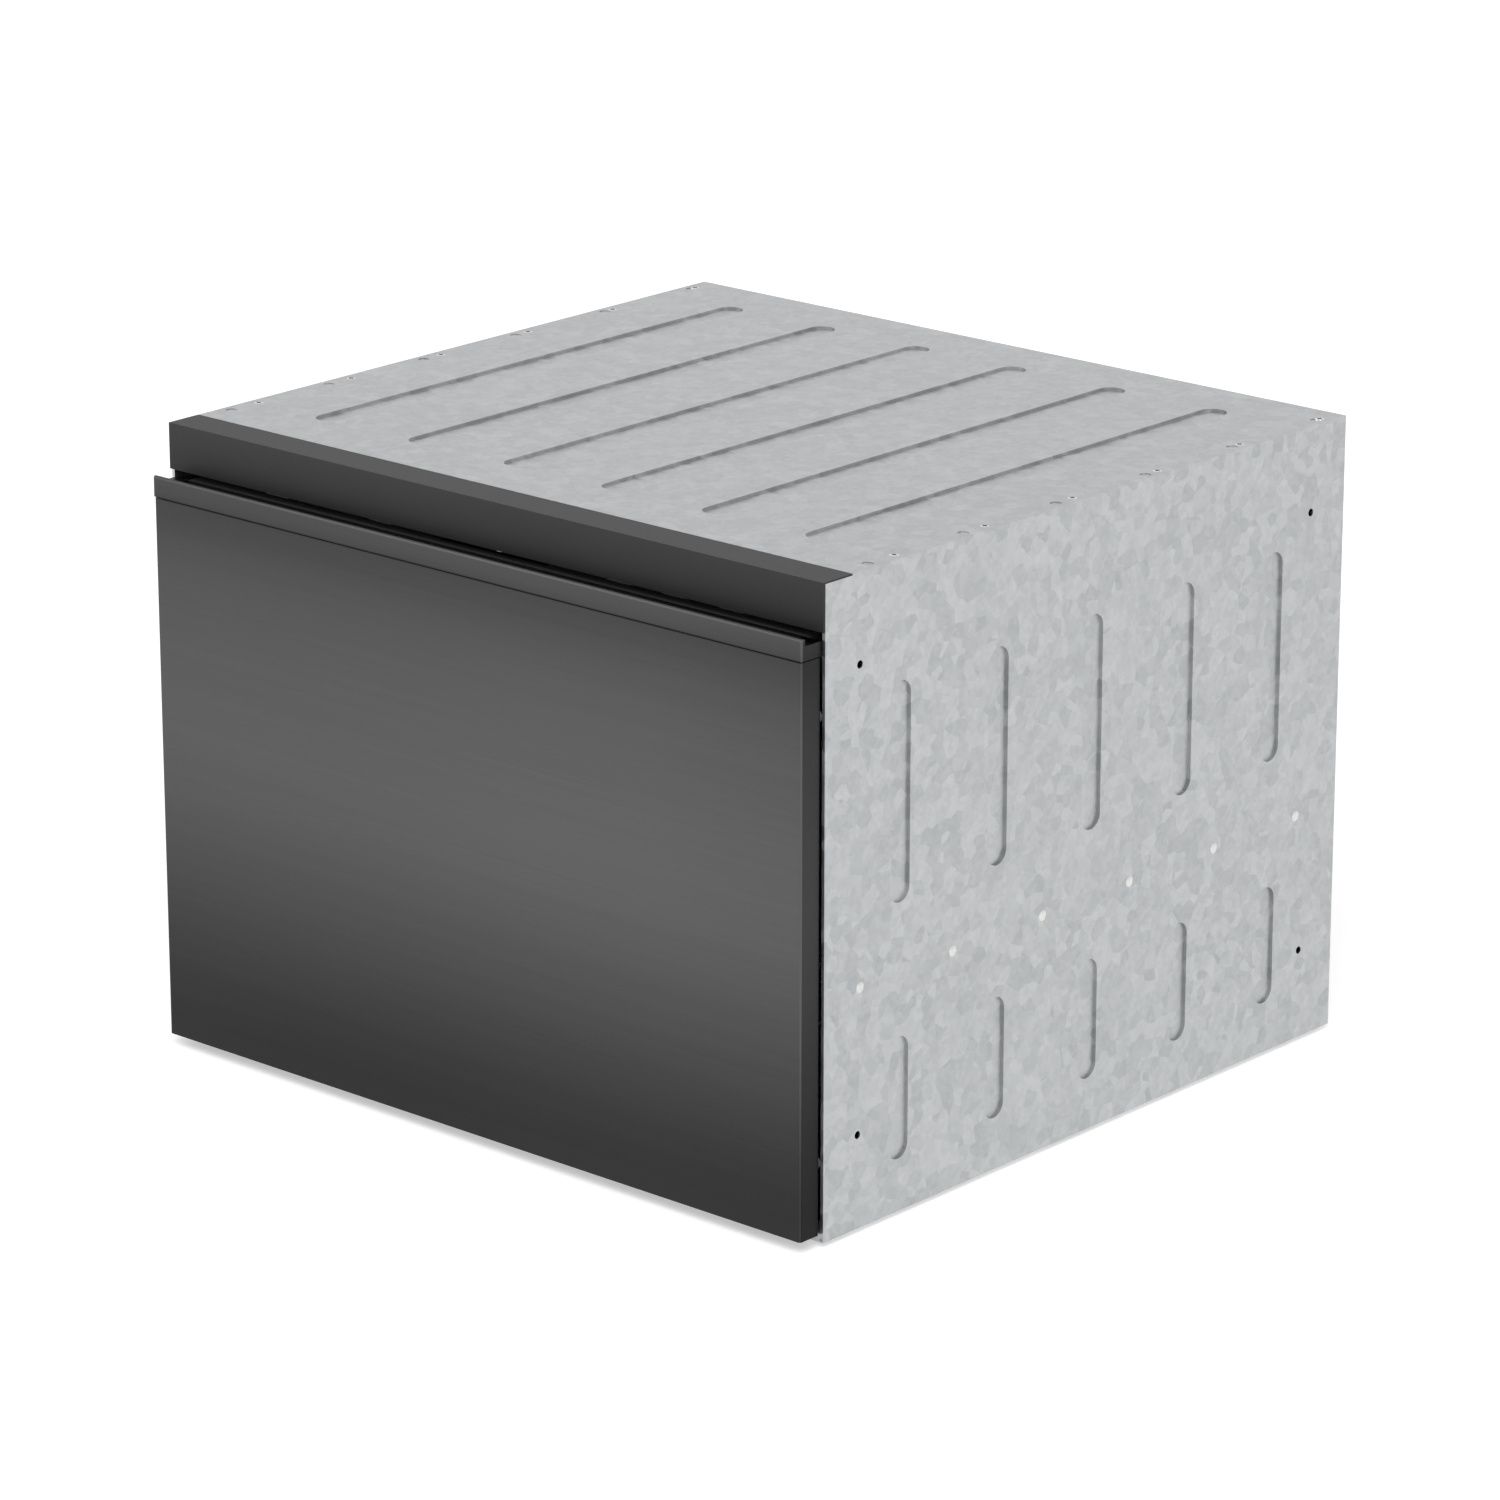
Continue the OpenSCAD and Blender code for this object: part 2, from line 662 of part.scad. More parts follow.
module pinion_tooth() {
    right = [for (r = flank_r) r * [cos(half_tooth - inv_angle(r)), sin(half_tooth - inv_angle(r))]];
    left = [for (i = [4:-1:0]) [right[i][0], -right[i][1]]];
    root = (root_r - 1) * [cos(half_tooth), sin(half_tooth)];
    polygon(concat([root], right, left, [[root[0], -root[1]]]));
}

module lid_pinion(side) color("#e8e8e4") on_side(side)
    translate([gear_x, pinion_y, pinion_z]) rotate([90, 0, 90]) difference() {
        union() {
            cylinder(h = gear_w, r = root_r);
            for (i = [0:pinion_teeth - 1]) rotate(180 + (i + 0.5) * 360 / pinion_teeth)
                linear_extrude(height = gear_w) pinion_tooth();
        }
        translate([0, 0, -1]) cylinder(h = gear_w + 2, r = pinion_pin_r + running);
    }

// Motor unit on the side panel, with the pinion's pin and the guide behind the rack.
module lid_actuator(side) color("#4a4c4e") on_side(side) {
    block(side_in_x - actuator_t, side_in_x, rack_mid_y - 16, pinion_y + 46, pinion_z - 26, pinion_z + 24);
    bar_x(gear_x - 1, side_in_x - 1, pinion_y, pinion_z, pinion_pin_r);
    block(gear_x - 0.5, side_in_x - 1, rack_mid_y - rack_bar_w / 2 - seat - 3,
          rack_mid_y - rack_bar_w / 2 - seat, pinion_z - 22, pinion_z + 8);
    block(gear_x - 1.5, side_in_x - 1, pinion_y + tip_r + 3, pinion_y + 44, pinion_z - 20, pinion_z + 18);
}

// ---------- hose link ----------

// A link arm between two pivots along its own +X: a channel that carries the hoses.
module link_bar(hole0_r, hole1_r, open_up) difference() {
    union() {
        translate([link_l / 2, 0]) linear_extrude(height = link_h) stadium(link_l + link_w, link_w);
    }
    translate([link_l / 2, 0, open_up ? 3 : -1]) linear_extrude(height = link_h - 2)
        stadium(link_l - link_w - 14, link_w - 6);
    if (hole0_r > 0) translate([0, 0, -1]) cylinder(h = link_h + 2, r = hole0_r);
    if (hole1_r > 0) translate([link_l, 0, -1]) cylinder(h = link_h + 2, r = hole1_r);
}

module link_arm_lower() color("#5c6064")
    translate([link_x, link_base_y, link_low_z]) rotate(link_angle) {
        link_bar(link_pin_r + running, 0, true);
        translate([link_l, 0, link_h - 1]) cylinder(h = link_h + seat, r = link_pin_r);
    }

module link_arm_upper() color("#6a6e72")
    translate([link_elbow[0], link_elbow[1], link_high_z]) rotate(180 - link_angle)
        link_bar(link_pin_r + running, link_tip_hole_r, false);

// Bracket under the tub, with the pin that takes the upper arm's eye.
module link_bracket() color("#aeb1b3") {
    block(link_x - 24, link_x - 21, link_tip_y - 18, link_tip_y + 10, link_foot_z, tub_bottom_z);
    block(link_x - 24, link_x + 12, link_tip_y - 14, link_tip_y + 10, link_foot_z, link_foot_z + 3);
    block(link_x - 40, link_x - 21, link_tip_y - 18, link_tip_y + 10, tub_bottom_z - 2, tub_bottom_z);
    bar_z(link_high_z + 1, link_foot_z + 1, link_x, link_tip_y, link_pin_r);
}

// ---------- drawer front ----------

// The steel front: one sheet folded round at both sides and at the foot, with lips behind.
module front_panel() color("#4b4c4e") difference() {
    translate([0, (front_y + front_back_y) / 2, front_clear])
        slab(front_w, front_depth, panel_top_z - front_clear, front_fold_r);
    translate([0, (front_y + front_back_y) / 2, front_clear + front_sheet])
        slab(front_w - 2 * front_sheet, front_depth - 2 * front_sheet, panel_top_z,
             front_fold_r - front_sheet);
    block(-front_w / 2 + front_lip, front_w / 2 - front_lip, front_back_y - 2 * front_sheet,
          front_back_y + 1, front_clear + front_lip, panel_top_z + 1);
}

// The grip: a dark extrusion whose face closes the top of the front. Fingers reach
// into the trough behind its face.
module grip_strip() color("#47494b") {
    face_t = front_sheet + seat + trough_t;
    block(-front_w / 2, front_w / 2, front_y, front_y + face_t, seam_z, front_top_z - face_t / 2);
    bar_x(-front_w / 2, front_w / 2, front_y + face_t / 2, front_top_z - face_t / 2, face_t / 2);
    block(-trough_x, trough_x, front_y + front_sheet + seat, front_y + face_t, trough_z, seam_z + 1);
    block(-trough_x, trough_x, front_y + front_sheet + seat, chassis_y, trough_z, trough_z + trough_t);
    block(-trough_x, trough_x, chassis_y - trough_t, chassis_y, trough_z, console_top_z);
    for (s = [-1, 1]) on_side(s)
        block(trough_x - 2, trough_x, front_y + front_sheet + seat, chassis_y, trough_z, console_top_z);
    // Solid ends above the steel front, flush with its folded sides.
    for (s = [-1, 1]) on_side(s)
        block(trough_x - 1, front_w / 2, front_y + 1, front_back_y, seam_z, console_top_z);
}

// The carrier joins the steel front to the tub and the runners.
module carrier_hollow(x0, x1) {
    block(x0, x1, front_back_y + carrier_t, tub_y0 + 1, carrier_frame_z + carrier_t, trough_z - carrier_t);
}

module front_carrier() color("#86898c") {
    block(-carrier_x, carrier_x, front_back_y, front_back_y + carrier_t, carrier_z, trough_z);
    difference() {
        block(-carrier_frame_x, carrier_frame_x, front_back_y + 1, tub_y0, carrier_frame_z, trough_z);
        carrier_hollow(-carrier_frame_x + carrier_t, -131);
        carrier_hollow(-129, 129);
        carrier_hollow(131, carrier_frame_x - carrier_t);
    }
}

// ---------- console ----------

module console() color("#2e3032") difference() {
    block(-console_x, console_x, chassis_y, console_y1, trough_z, console_top_z);
    block(-console_x + 2, console_x - 2, chassis_y + 2, console_y1 - 2, trough_z - 1, console_top_z - console_t);
    for (x = button_x) translate([x, console_mid_y, console_top_z - 5])
        slab(button_l + 2 * seat, button_w + 2 * seat, 6, 3 + seat);
    block(-window_l / 2 - 4, window_l / 2 + 4, console_mid_y - 9, console_mid_y + 9,
          console_top_z - 1.5, console_top_z + 1);
    block(-window_l / 2, window_l / 2, console_mid_y - 7, console_mid_y + 7, board_z, console_top_z + 1);
}

module display_window() color("#111214")
    block(-window_l / 2 - 3.8, window_l / 2 + 3.8, console_mid_y - 8.8, console_mid_y + 8.8,
          console_top_z - 1.5, console_top_z);

// The board hangs on posts from the console's top, with a switch under each button.
module control_board() color("#2f6b46") {
    board_x = console_x - 48;
    post_x = window_l / 2 + 15;
    block(-board_x, board_x, console_mid_y - 12, console_mid_y + 12, board_z, board_z + board_t);
    for (x = [6 - board_x, -post_x, post_x, board_x - 6])
        bar_z(board_z, console_top_z - console_t, x, console_mid_y, 3);
    for (x = button_x) translate([x - 3, console_mid_y - 3, board_z + board_t - 0.1]) cube([6, 6, 3]);
    block(5 - window_l / 2, window_l / 2 - 5, console_mid_y - 6, console_mid_y + 6,
          board_z + board_t - 0.1, console_top_z - 3.4);
}

module button(i) color("#5a5d60") translate([button_x[i], console_mid_y, 0]) {
    plate_z = console_top_z - console_t;
    translate([0, 0, plate_z - seat - button_flange_t])
        slab(button_l, button_w, console_top_z + button_proud - plate_z + seat + button_flange_t, 3);
    translate([0, 0, plate_z - seat - button_flange_t])
        slab(button_l + 2 * button_flange, button_w + 2 * button_flange, button_flange_t, 4);
    bar_z(board_z + board_t + 3 + button_travel + 0.3, plate_z - seat - button_flange_t + 0.1, 0, 0, 2);
}

// ---------- tub ----------

// Upright ribs outside the tub, spread along its sides and its back.
function spread(i, n, low, high) = low + (high - low) * i / n;
rib_t = 2.5;
rib_pitch = 52;
rib_y0 = tub_y0 + tub_r + 26;
rib_y1 = tub_y1 - tub_r - 28;
rib_ny = floor((rib_y1 - rib_y0) / rib_pitch);
rib_y = [for (i = [0:rib_ny]) spread(i, rib_ny, rib_y0, rib_y1)];
rib_end_x = tub_x - tub_r - 38;
rib_nx = floor(2 * rib_end_x / rib_pitch);
rib_x = [for (i = [0:rib_nx]) spread(i, rib_nx, -rib_end_x, rib_end_x)];

module at_tub() translate([0, tub_mid_y, 0]) children();

module tub() color("#c9ccce") difference() {
    union() {
        at_tub() translate([0, 0, tub_bottom_z])
            bowl(2 * tub_x, tub_y1 - tub_y0, rim_z - tub_bottom_z, tub_r + tub_wall);
        at_tub() translate([0, 0, rim_z - rim_t])
            slab(2 * (tub_x + rim_w), tub_y1 - tub_y0 + 2 * rim_w, rim_t, tub_r + tub_wall + rim_w);
        for (s = [-1, 1]) on_side(s) {
            block(tub_x - 1, runner_in_x - bracket_t - seat, tub_y0 + tub_r + 8, tub_y1 - tub_r - 8,
                  tub_ledge_z, tub_ledge_z + 4);
            for (y = rib_y) block(tub_x - 1, tub_x + 9, y - rib_t / 2, y + rib_t / 2,
                                  tub_ledge_z + 3, rim_z - 1);
        }
        for (x = rib_x) block(x - rib_t / 2, x + rib_t / 2, tub_y1 - 1, tub_y1 + 7,
                              tub_bottom_z + tub_r + 40, rim_z - 1);
        at_tub() translate([0, 0, well_bottom_z]) cylinder(h = well_depth + tub_wall, r = well_r + tub_wall);
        translate([filter_x, filter_y, well_bottom_z])
            cylinder(h = well_depth + tub_wall, r = filter_r + 2 + tub_wall);
    }
    at_tub() translate([0, 0, tub_floor_z])
        bowl(2 * tub_in_x, tub_in_y1 - tub_in_y0, rim_z - tub_floor_z + 1 + tub_r, tub_r);
    at_tub() translate([0, 0, well_floor_z]) cylinder(h = well_depth + 5, r = well_r);
    at_tub() translate([0, 0, well_bottom_z - 1]) cylinder(h = tub_wall + 2, r = motor_boss_r + 0.2);
    translate([filter_x, filter_y, well_floor_z]) cylinder(h = well_depth + 5, r = filter_r + 2);
    translate([filter_x, filter_y, well_bottom_z - 1]) cylinder(h = tub_wall + 2, r = 9);
    block(dispenser_x0 + 4, dispenser_x1 - 4, tub_y0 - 1, tub_in_y0 + 1, dispenser_z0 + 4, dispenser_z1 - 4);
}

// ---------- wash system ----------

// Direct-drive motor under the well; its fixed spindle carries the rotor and the spray arm.
module wash_motor() color("#6d7073") at_tub() {
    translate([0, 0, motor_z]) cylinder(h = well_bottom_z - motor_z, r = well_r);
    translate([0, 0, motor_z + 8]) cylinder(h = 3, r = well_r + 6);
    translate([0, 0, well_bottom_z - 1]) cylinder(h = well_floor_z + 3 - well_bottom_z, r = motor_boss_r);
    translate([0, 0, well_bottom_z - 1]) cylinder(h = spindle_top_z - well_bottom_z + 1, r = spindle_r);
    for (a = [0:60:300]) rotate(a) block(well_r - 4, well_r + 3, -1.5, 1.5, motor_z + 1, well_bottom_z - 2);
}

module heater_ring() color("#b9bbbd") at_tub() difference() {
    translate([0, 0, tub_bottom_z - 3]) cylinder(h = 3, r = well_r + tub_wall + 30);
    translate([0, 0, tub_bottom_z - 4]) cylinder(h = 5, r = well_r + tub_wall + 1);
    translate([filter_x, filter_y - tub_mid_y, tub_bottom_z - 4]) cylinder(h = 5, r = filter_r + tub_wall + 4);
}

pump_r = 15;
pump_z = well_bottom_z - pump_r - 3;
hose_r = 8;
hose_z = link_foot_z + hose_r + 2;
module drain_pump() color("#54585b") difference() {
    union() {
        bar_z(pump_z - 14, well_bottom_z, filter_x, filter_y, 14);
        bar_x(filter_x - 26, filter_x + 16, filter_y, pump_z, pump_r);
        bar_x(filter_x - 30, filter_x - 26, filter_y, pump_z, pump_r + 2.5);
        bar_x(filter_x - 70, filter_x - 29, filter_y, pump_z, pump_r - 1);
        bar_y(filter_y + 9, filter_y + 36, filter_x, hose_z, hose_r);
    }
    bar_z(pump_z - 4, well_bottom_z + 1, filter_x, filter_y, 9);
}

// Drain hose on the tub, from the pump back to the hose link's tip.
module drain_hose() color("#8a8d90") {
    turn_r = 22;
    back_y = link_tip_y - 30;
    drop_x = link_x + link_tip_hole_r + hose_r;
    bar_y(filter_y + 36, back_y - turn_r, filter_x, hose_z, hose_r);
    translate([filter_x - turn_r, back_y - turn_r, hose_z]) rotate_extrude(angle = 90)
        translate([turn_r, 0]) circle(r = hose_r);
    bar_x(drop_x, filter_x - turn_r, back_y, hose_z, hose_r);
    translate([drop_x, back_y, hose_z]) sphere(r = hose_r);
    bar_y(back_y, link_tip_y - 18, drop_x, hose_z, hose_r);
}

module rotor() color("#dfe1e2") at_tub() translate([0, 0, rotor_z]) difference() {
    union() {
        cylinder(h = rotor_h, r = 14);
        cylinder(h = 3, r = well_r - 10);
        for (a = [0:45:315]) rotate(a) translate([10, -1, 2]) cube([well_r - 24, 2, 8]);
    }
    translate([0, 0, -1]) cylinder(h = rotor_h + 2, r = spindle_r + running);
}

// One blade of the spray arm, drawn along its own +X with its jets.
module spray_blade() difference() {
    linear_extrude(height = spray_t) {
        polygon([[0, -26], [spray_r - 18, -4], [spray_r - 18, 22], [0, 26]]);
        translate([spray_r - 18, 9]) circle(r = 13);
    }
    for (i = [0:5]) translate([52 + i * 27, 5 + i * 0.6, -1]) linear_extrude(height = spray_t + 2)
        rotate(70) stadium(9, 2.4);
}

module spray_arm() color("#8f9497") at_tub() difference() {
    union() {
        for (a = [20, 200]) translate([0, 0, spray_z]) rotate(a) spray_blade();
        translate([0, 0, spray_z]) cylinder(h = spray_t + 2, r = 29);
        translate([0, 0, spray_hub_z]) cylinder(h = spray_z - spray_hub_z + 1, r = 24);
    }
    translate([0, 0, spray_hub_z - 1]) cylinder(h = spray_top_z - spray_hub_z + 2, r = spindle_r + running);
}

module spray_arm_cap() color("#3f4346") at_tub() translate([0, 0, spindle_top_z]) difference() {
    cylinder(h = 6, r = 13);
    for (a = [0:60:300]) rotate(a) translate([14.5, 0, -1]) cylinder(h = 8, r = 3);
}

plate_w = 2 * (tub_in_x - tub_r) - 6;
plate_d = tub_in_y1 - tub_in_y0 - 2 * tub_r - 6;

// Filter plate over the tub's floor, with rings of slots round the middle.
module filter_plate() color("#9a9ea1") difference() {
    at_tub() union() {
        translate([0, 0, tub_floor_z]) slab(plate_w, plate_d, plate_t, 20);
        translate([0, 0, plate_top_z - 1]) cylinder(h = 4, r = 38);
    }
    at_tub() translate([0, 0, tub_floor_z - 1]) cylinder(h = 12, r = 30);
    translate([filter_x, filter_y, tub_floor_z - 1]) cylinder(h = 12, r = filter_r + 1);
    at_tub() for (ring = [0:2], i = [0:23]) rotate(i * 15 + ring * 7.5)
        translate([56 + ring * 15, 0, tub_floor_z - 1]) linear_extrude(height = plate_t + 2) stadium(11, 3);
}

// Drain filter: a cup that hangs in the drain well and turns to unlock.
module drain_filter() color("#7d8286") translate([filter_x, filter_y, 0]) {
    difference() {
        union() {
            translate([0, 0, well_floor_z + 1]) cylinder(h = tub_floor_z - well_floor_z + 2, r = filter_r - 1.5);
            translate([0, 0, plate_top_z + 0.3]) cylinder(h = 3, r = filter_r + 5);
            translate([0, 0, tub_floor_z]) cylinder(h = plate_t + 1, r = filter_r + 0.5);
        }
        translate([0, 0, well_floor_z + 3]) cylinder(h = 60, r = filter_r - 4);
        for (a = [0:15:345], z = [0:1]) rotate(a + z * 7.5)
            translate([filter_r - 6, -1, well_floor_z + 5 + z * 9]) cube([8, 2, 6]);
    }
    block(-filter_r + 3, filter_r - 3, -2.5, 2.5, well_floor_z + 4, spray_z - 2);
}

// ---------- dispenser and fan ----------

module dispenser_body() color("#dadcdc") difference() {
    union() {
        block(dispenser_x0, dispenser_x1, tub_in_y0, dispenser_face_y, dispenser_z0, dispenser_z1);
        block(dispenser_x0 + 4.3, dispenser_x1 - 4.3, tub_y0 - 30, tub_in_y0 + 1,
              dispenser_z0 + 4.3, dispenser_z1 - 4.3);
        for (s = [0, 1]) block(cup_x0 - 6 + s * (cup_w + 6), cup_x0 + s * (cup_w + 6), dispenser_face_y - 1,
                               dispenser_face_y + 5, cup_z0 - 9, cup_z0 + 3);
    }
    block(cup_x0 + 4, cup_x0 + cup_w - 4, tub_y0 - 24, dispenser_face_y + 6, cup_z0 + 4, cup_z0 + cup_h - 4);
    bar_y(tub_y0 - 20, dispenser_face_y + 1, rinse_x, rinse_z, rinse_r - 5);
    bar_x(cup_x0 - 7, cup_x0 + cup_w + 7, dispenser_face_y + 2.5, cup_z0 - 4, door_pin_r + running);
}

// The flap over the detergent cup, on a pin at its foot.
module dispenser_door() color("#b8bcbe") {
    block(cup_x0 + seat, cup_x0 + cup_w - seat, dispenser_face_y + seat, dispenser_face_y + 3.5,
          cup_z0, cup_z0 + cup_h);
    block(cup_x0 + 8, cup_x0 + cup_w - 8, dispenser_face_y + 3, dispenser_face_y + 6,
          cup_z0 + cup_h - 10, cup_z0 + cup_h - 7);
    block(cup_x0 + seat, cup_x0 + cup_w - seat, dispenser_face_y + 0.5, dispenser_face_y + 4.5,
          cup_z0 - 4, cup_z0 + 1);
    bar_x(cup_x0 - 5.5, cup_x0 + cup_w + 5.5, dispenser_face_y + 2.5, cup_z0 - 4, door_pin_r);
}

// Quarter-turn cap of the rinse-aid tank.
module rinse_cap() color("#5f7f96") difference() {
    union() {
        bar_y(dispenser_face_y + seat, dispenser_face_y + 4, rinse_x, rinse_z, rinse_r);
        bar_y(dispenser_face_y - 12, dispenser_face_y + 1, rinse_x, rinse_z, rinse_r - 5 - running);
        block(rinse_x - 2.5, rinse_x + 2.5, dispenser_face_y + 3, dispenser_face_y + 9,
              rinse_z - rinse_r + 3, rinse_z + rinse_r - 3);
    }
    for (a = [0:30:330]) translate([rinse_x, 0, rinse_z]) rotate([0, a, 0])
        bar_y(dispenser_face_y, dispenser_face_y + 5, rinse_r + 1, 0, 2);
}

// Blower in the hollow of the carrier, which draws moist air out of the tub.
module drying_fan() color("#404346") {
    fan_x = carrier_frame_x - 66;
    fan_z = carrier_frame_z + 90;
    difference() {
        union() {
            bar_y(tub_y0 - 30, tub_y0, fan_x, fan_z, 40);
            block(fan_x - 40, fan_x + 2, tub_y0 - 30, tub_y0, fan_z, fan_z + 84);
        }
        bar_y(tub_y0 - 32, tub_y0 - 6, fan_x, fan_z, 26);
    }
    bar_y(tub_y0 - 28, tub_y0 - 5, fan_x, fan_z, 10);
    for (a = [0:40:320]) translate([fan_x, 0, fan_z]) rotate([0, a, 0])
        block(8, 23, tub_y0 - 26, tub_y0 - 8, -0.8, 0.8);
}

// ---------- basket, tines, shelves ----------

floor_nx = floor((2 * rack_x - 20) / wire_pitch);
floor_ny = floor((rack_y1 - rack_y0 - 20) / wire_pitch);

module rack_floor() {
    inset = wire_r + 0.1;
    for (i = [0:floor_ny]) bar_x(-rack_x + inset, rack_x - inset,
                                 spread(i, floor_ny, rack_y0 + 12, rack_y1 - 12), rack_z, wire_r);
    for (i = [0:floor_nx]) bar_y(rack_y0 + inset, rack_y1 - inset,
                                 spread(i, floor_nx, -rack_x + 14, rack_x - 14),
                                 rack_z + 2 * wire_r - weld, wire_r);
    for (i = [1, floor_nx - 1], k = [1, floor_ny - 1])
        bar_z(plate_top_z, rack_z, spread(i, floor_nx, -rack_x + 14, rack_x - 14),
              spread(k, floor_ny, rack_y0 + 12, rack_y1 - 12), rail_r);
}

// Walls of upright wires between two rails.
module rack_side(side) on_side(side) {
    for (z = [rack_z, rack_z + rack_h / 2]) bar_y(rack_y0 + 5, rack_y1 - 5, rack_x, z, wire_r);
    bar_y(rack_y0 + 5, rack_y1 - 5, rack_x, rack_top_z, rail_r);
    for (i = [0:floor_ny]) bar_z(rack_z, rack_top_z, rack_x, spread(i, floor_ny, rack_y0 + 12, rack_y1 - 12),
                                 wire_r);
}

module rack_end(y) {
    for (z = [rack_z, rack_z + rack_h / 2]) bar_x(-rack_x + 5, rack_x - 5, y, z, wire_r);
    bar_x(-rack_x + 5, rack_x - 5, y, rack_top_z, rail_r);
    for (i = [0:floor_nx]) bar_z(rack_z, rack_top_z, spread(i, floor_nx, -rack_x + 14, rack_x - 14), y, wire_r);
}

module base_rack() color("#a7abae") {
    rack_floor();
    for (s = [-1, 1]) rack_side(s);
    rack_end(rack_y0);
    rack_end(rack_y1);
}

tine_count = floor((2 * rack_x - 50) / tine_pitch);
tine_span = tine_count * tine_pitch;
clip_x = [for (i = [0, floor(tine_count / 2), tine_count - 1]) (i + 0.5) * tine_pitch - tine_span / 2];

// A comb of tines on a rod that turns in the clips.
module tine_row(y) color("#8d9194") {
    bar_x(-tine_span / 2 - 8, tine_span / 2 + 8, y, tine_rod_z, rail_r);
    for (i = [0:tine_count]) translate([i * tine_pitch - tine_span / 2, y, tine_rod_z]) {
        cylinder(h = tine_h, r = wire_r);
        translate([0, 0, tine_h]) sphere(r = wire_r);
    }
}

// Clips on the basket: they hold the tine rods, and the cup shelves on the side rails.
module rack_clips() color("#5b6063") {
    for (y = [tine_front_y, tine_rear_y], x = clip_x) difference() {
        block(x - clip_w / 2, x + clip_w / 2, y - 6, y + 6, rack_floor_z, tine_rod_z + rail_r + 2);
        bar_x(-rack_x, rack_x, y, tine_rod_z, rail_r + running);
    }
    for (s = [-1, 1], y = [shelf_y0 + 20, shelf_y0 + shelf_l - 30]) on_side(s) difference() {
        block(shelf_rod_x - clip_w / 2, rack_x - rail_r - 0.1, y, y + clip_w, rack_top_z - 4, shelf_z + clip_w / 2);
        bar_y(y - 1, y + clip_w + 1, shelf_rod_x, shelf_z, wire_r + running);
    }
}

// A wire shelf that lies level and folds up against the tub's wall.
module cup_shelf(side) color("#9ba0a3") on_side(side) {
    inner = shelf_rod_x - shelf_w;
    bar_y(shelf_y0, shelf_y0 + shelf_l, shelf_rod_x, shelf_z, wire_r);
    bar_y(shelf_y0, shelf_y0 + shelf_l, inner, shelf_z, wire_r);
    for (i = [0:7]) bar_x(inner, shelf_rod_x, spread(i, 7, shelf_y0 + 4, shelf_y0 + shelf_l - 4),
                          shelf_z, wire_r);
    bar_y(shelf_y0 + 2, shelf_y0 + shelf_l - 2, shelf_rod_x - shelf_w / 2, shelf_z + 3, wire_r);
}

// Cutlery basket of five cells with slatted walls and a handle.
cells = 5;
cell_w = (2 * basket_x - basket_t) / cells;
module cutlery_basket() color("#7f8487") translate([0, basket_y0, rack_floor_z]) {
    difference() {
        block(-basket_x, basket_x, 0, basket_d, 0, basket_h);
        for (i = [0:cells - 1]) block(-basket_x + basket_t + i * cell_w, -basket_x + (i + 1) * cell_w,
                                      basket_t, basket_d - basket_t, basket_t, basket_h + 1);
        for (i = [0:cells - 1], k = [0:4], y = [0, basket_d])
            block(-basket_x + basket_t + i * cell_w + 5 + k * 8, -basket_x + basket_t + i * cell_w + 8 + k * 8,
                  y - basket_t - 1, y + basket_t + 1, 14, basket_h - 14);
    }
    for (x = [-1, 1]) block(x * (cell_w / 2 - 1) - 3, x * (cell_w / 2 - 1) + 3, basket_d / 2 - 4,
                            basket_d / 2 + 4, basket_h - 24, basket_h + 26);
    block(-cell_w / 2 - 2, cell_w / 2 + 2, basket_d / 2 - 4, basket_d / 2 + 4, basket_h + 22, basket_h + 30);
}

side_panel(-1);  // side_panel_left
side_panel(1);  // side_panel_right
base_tray();
rear_panel();
top_cover();
top_fascia();
base_pads();
rear_screws();
inlet_valve();
drain_outlet();
power_inlet();
runner_outer(-1);  // runner_outer_left
runner_outer(1);  // runner_outer_right
runner_middle(-1);  // runner_middle_left
runner_middle(1);  // runner_middle_right
runner_inner(-1);  // runner_inner_left
runner_inner(1);  // runner_inner_right
lid_actuator(-1);  // lid_actuator_left
lid_actuator(1);  // lid_actuator_right
lid_pinion(-1);  // lid_pinion_left
lid_pinion(1);  // lid_pinion_right
lid_rack(-1);  // lid_rack_left
lid_rack(1);  // lid_rack_right
lid_shell();
lid_seal();
link_arm_lower();
link_arm_upper();
link_bracket();
front_panel();
grip_strip();
front_carrier();
console();
display_window();
control_board();
button(0);  // button_power
button(1);  // button_program
button(2);  // button_option
button(3);  // button_lock
button(4);  // button_start
tub();
wash_motor();
heater_ring();
drain_pump();
rotor();
spray_arm();
spray_arm_cap();
filter_plate();
drain_filter();
dispenser_body();
dispenser_door();
rinse_cap();
drying_fan();
base_rack();
rack_clips();
tine_row(tine_front_y);  // tine_row_front
tine_row(tine_rear_y);  // tine_row_rear
cup_shelf(-1);  // cup_shelf_left
cup_shelf(1);  // cup_shelf_right
cutlery_basket();
drain_hose();
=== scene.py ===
# %% [markdown]
# A dishwasher drawer, dressed for its portrait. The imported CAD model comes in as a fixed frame: every
# working part is already there at its real size. This file adds what a camera would see on top of it:
# the finish of each surface, the small fasteners, threads and hoses, the lights and the camera.

# %% Load the machine
import bmesh
import bpy
import json
import math
from mathutils import Matrix, Vector


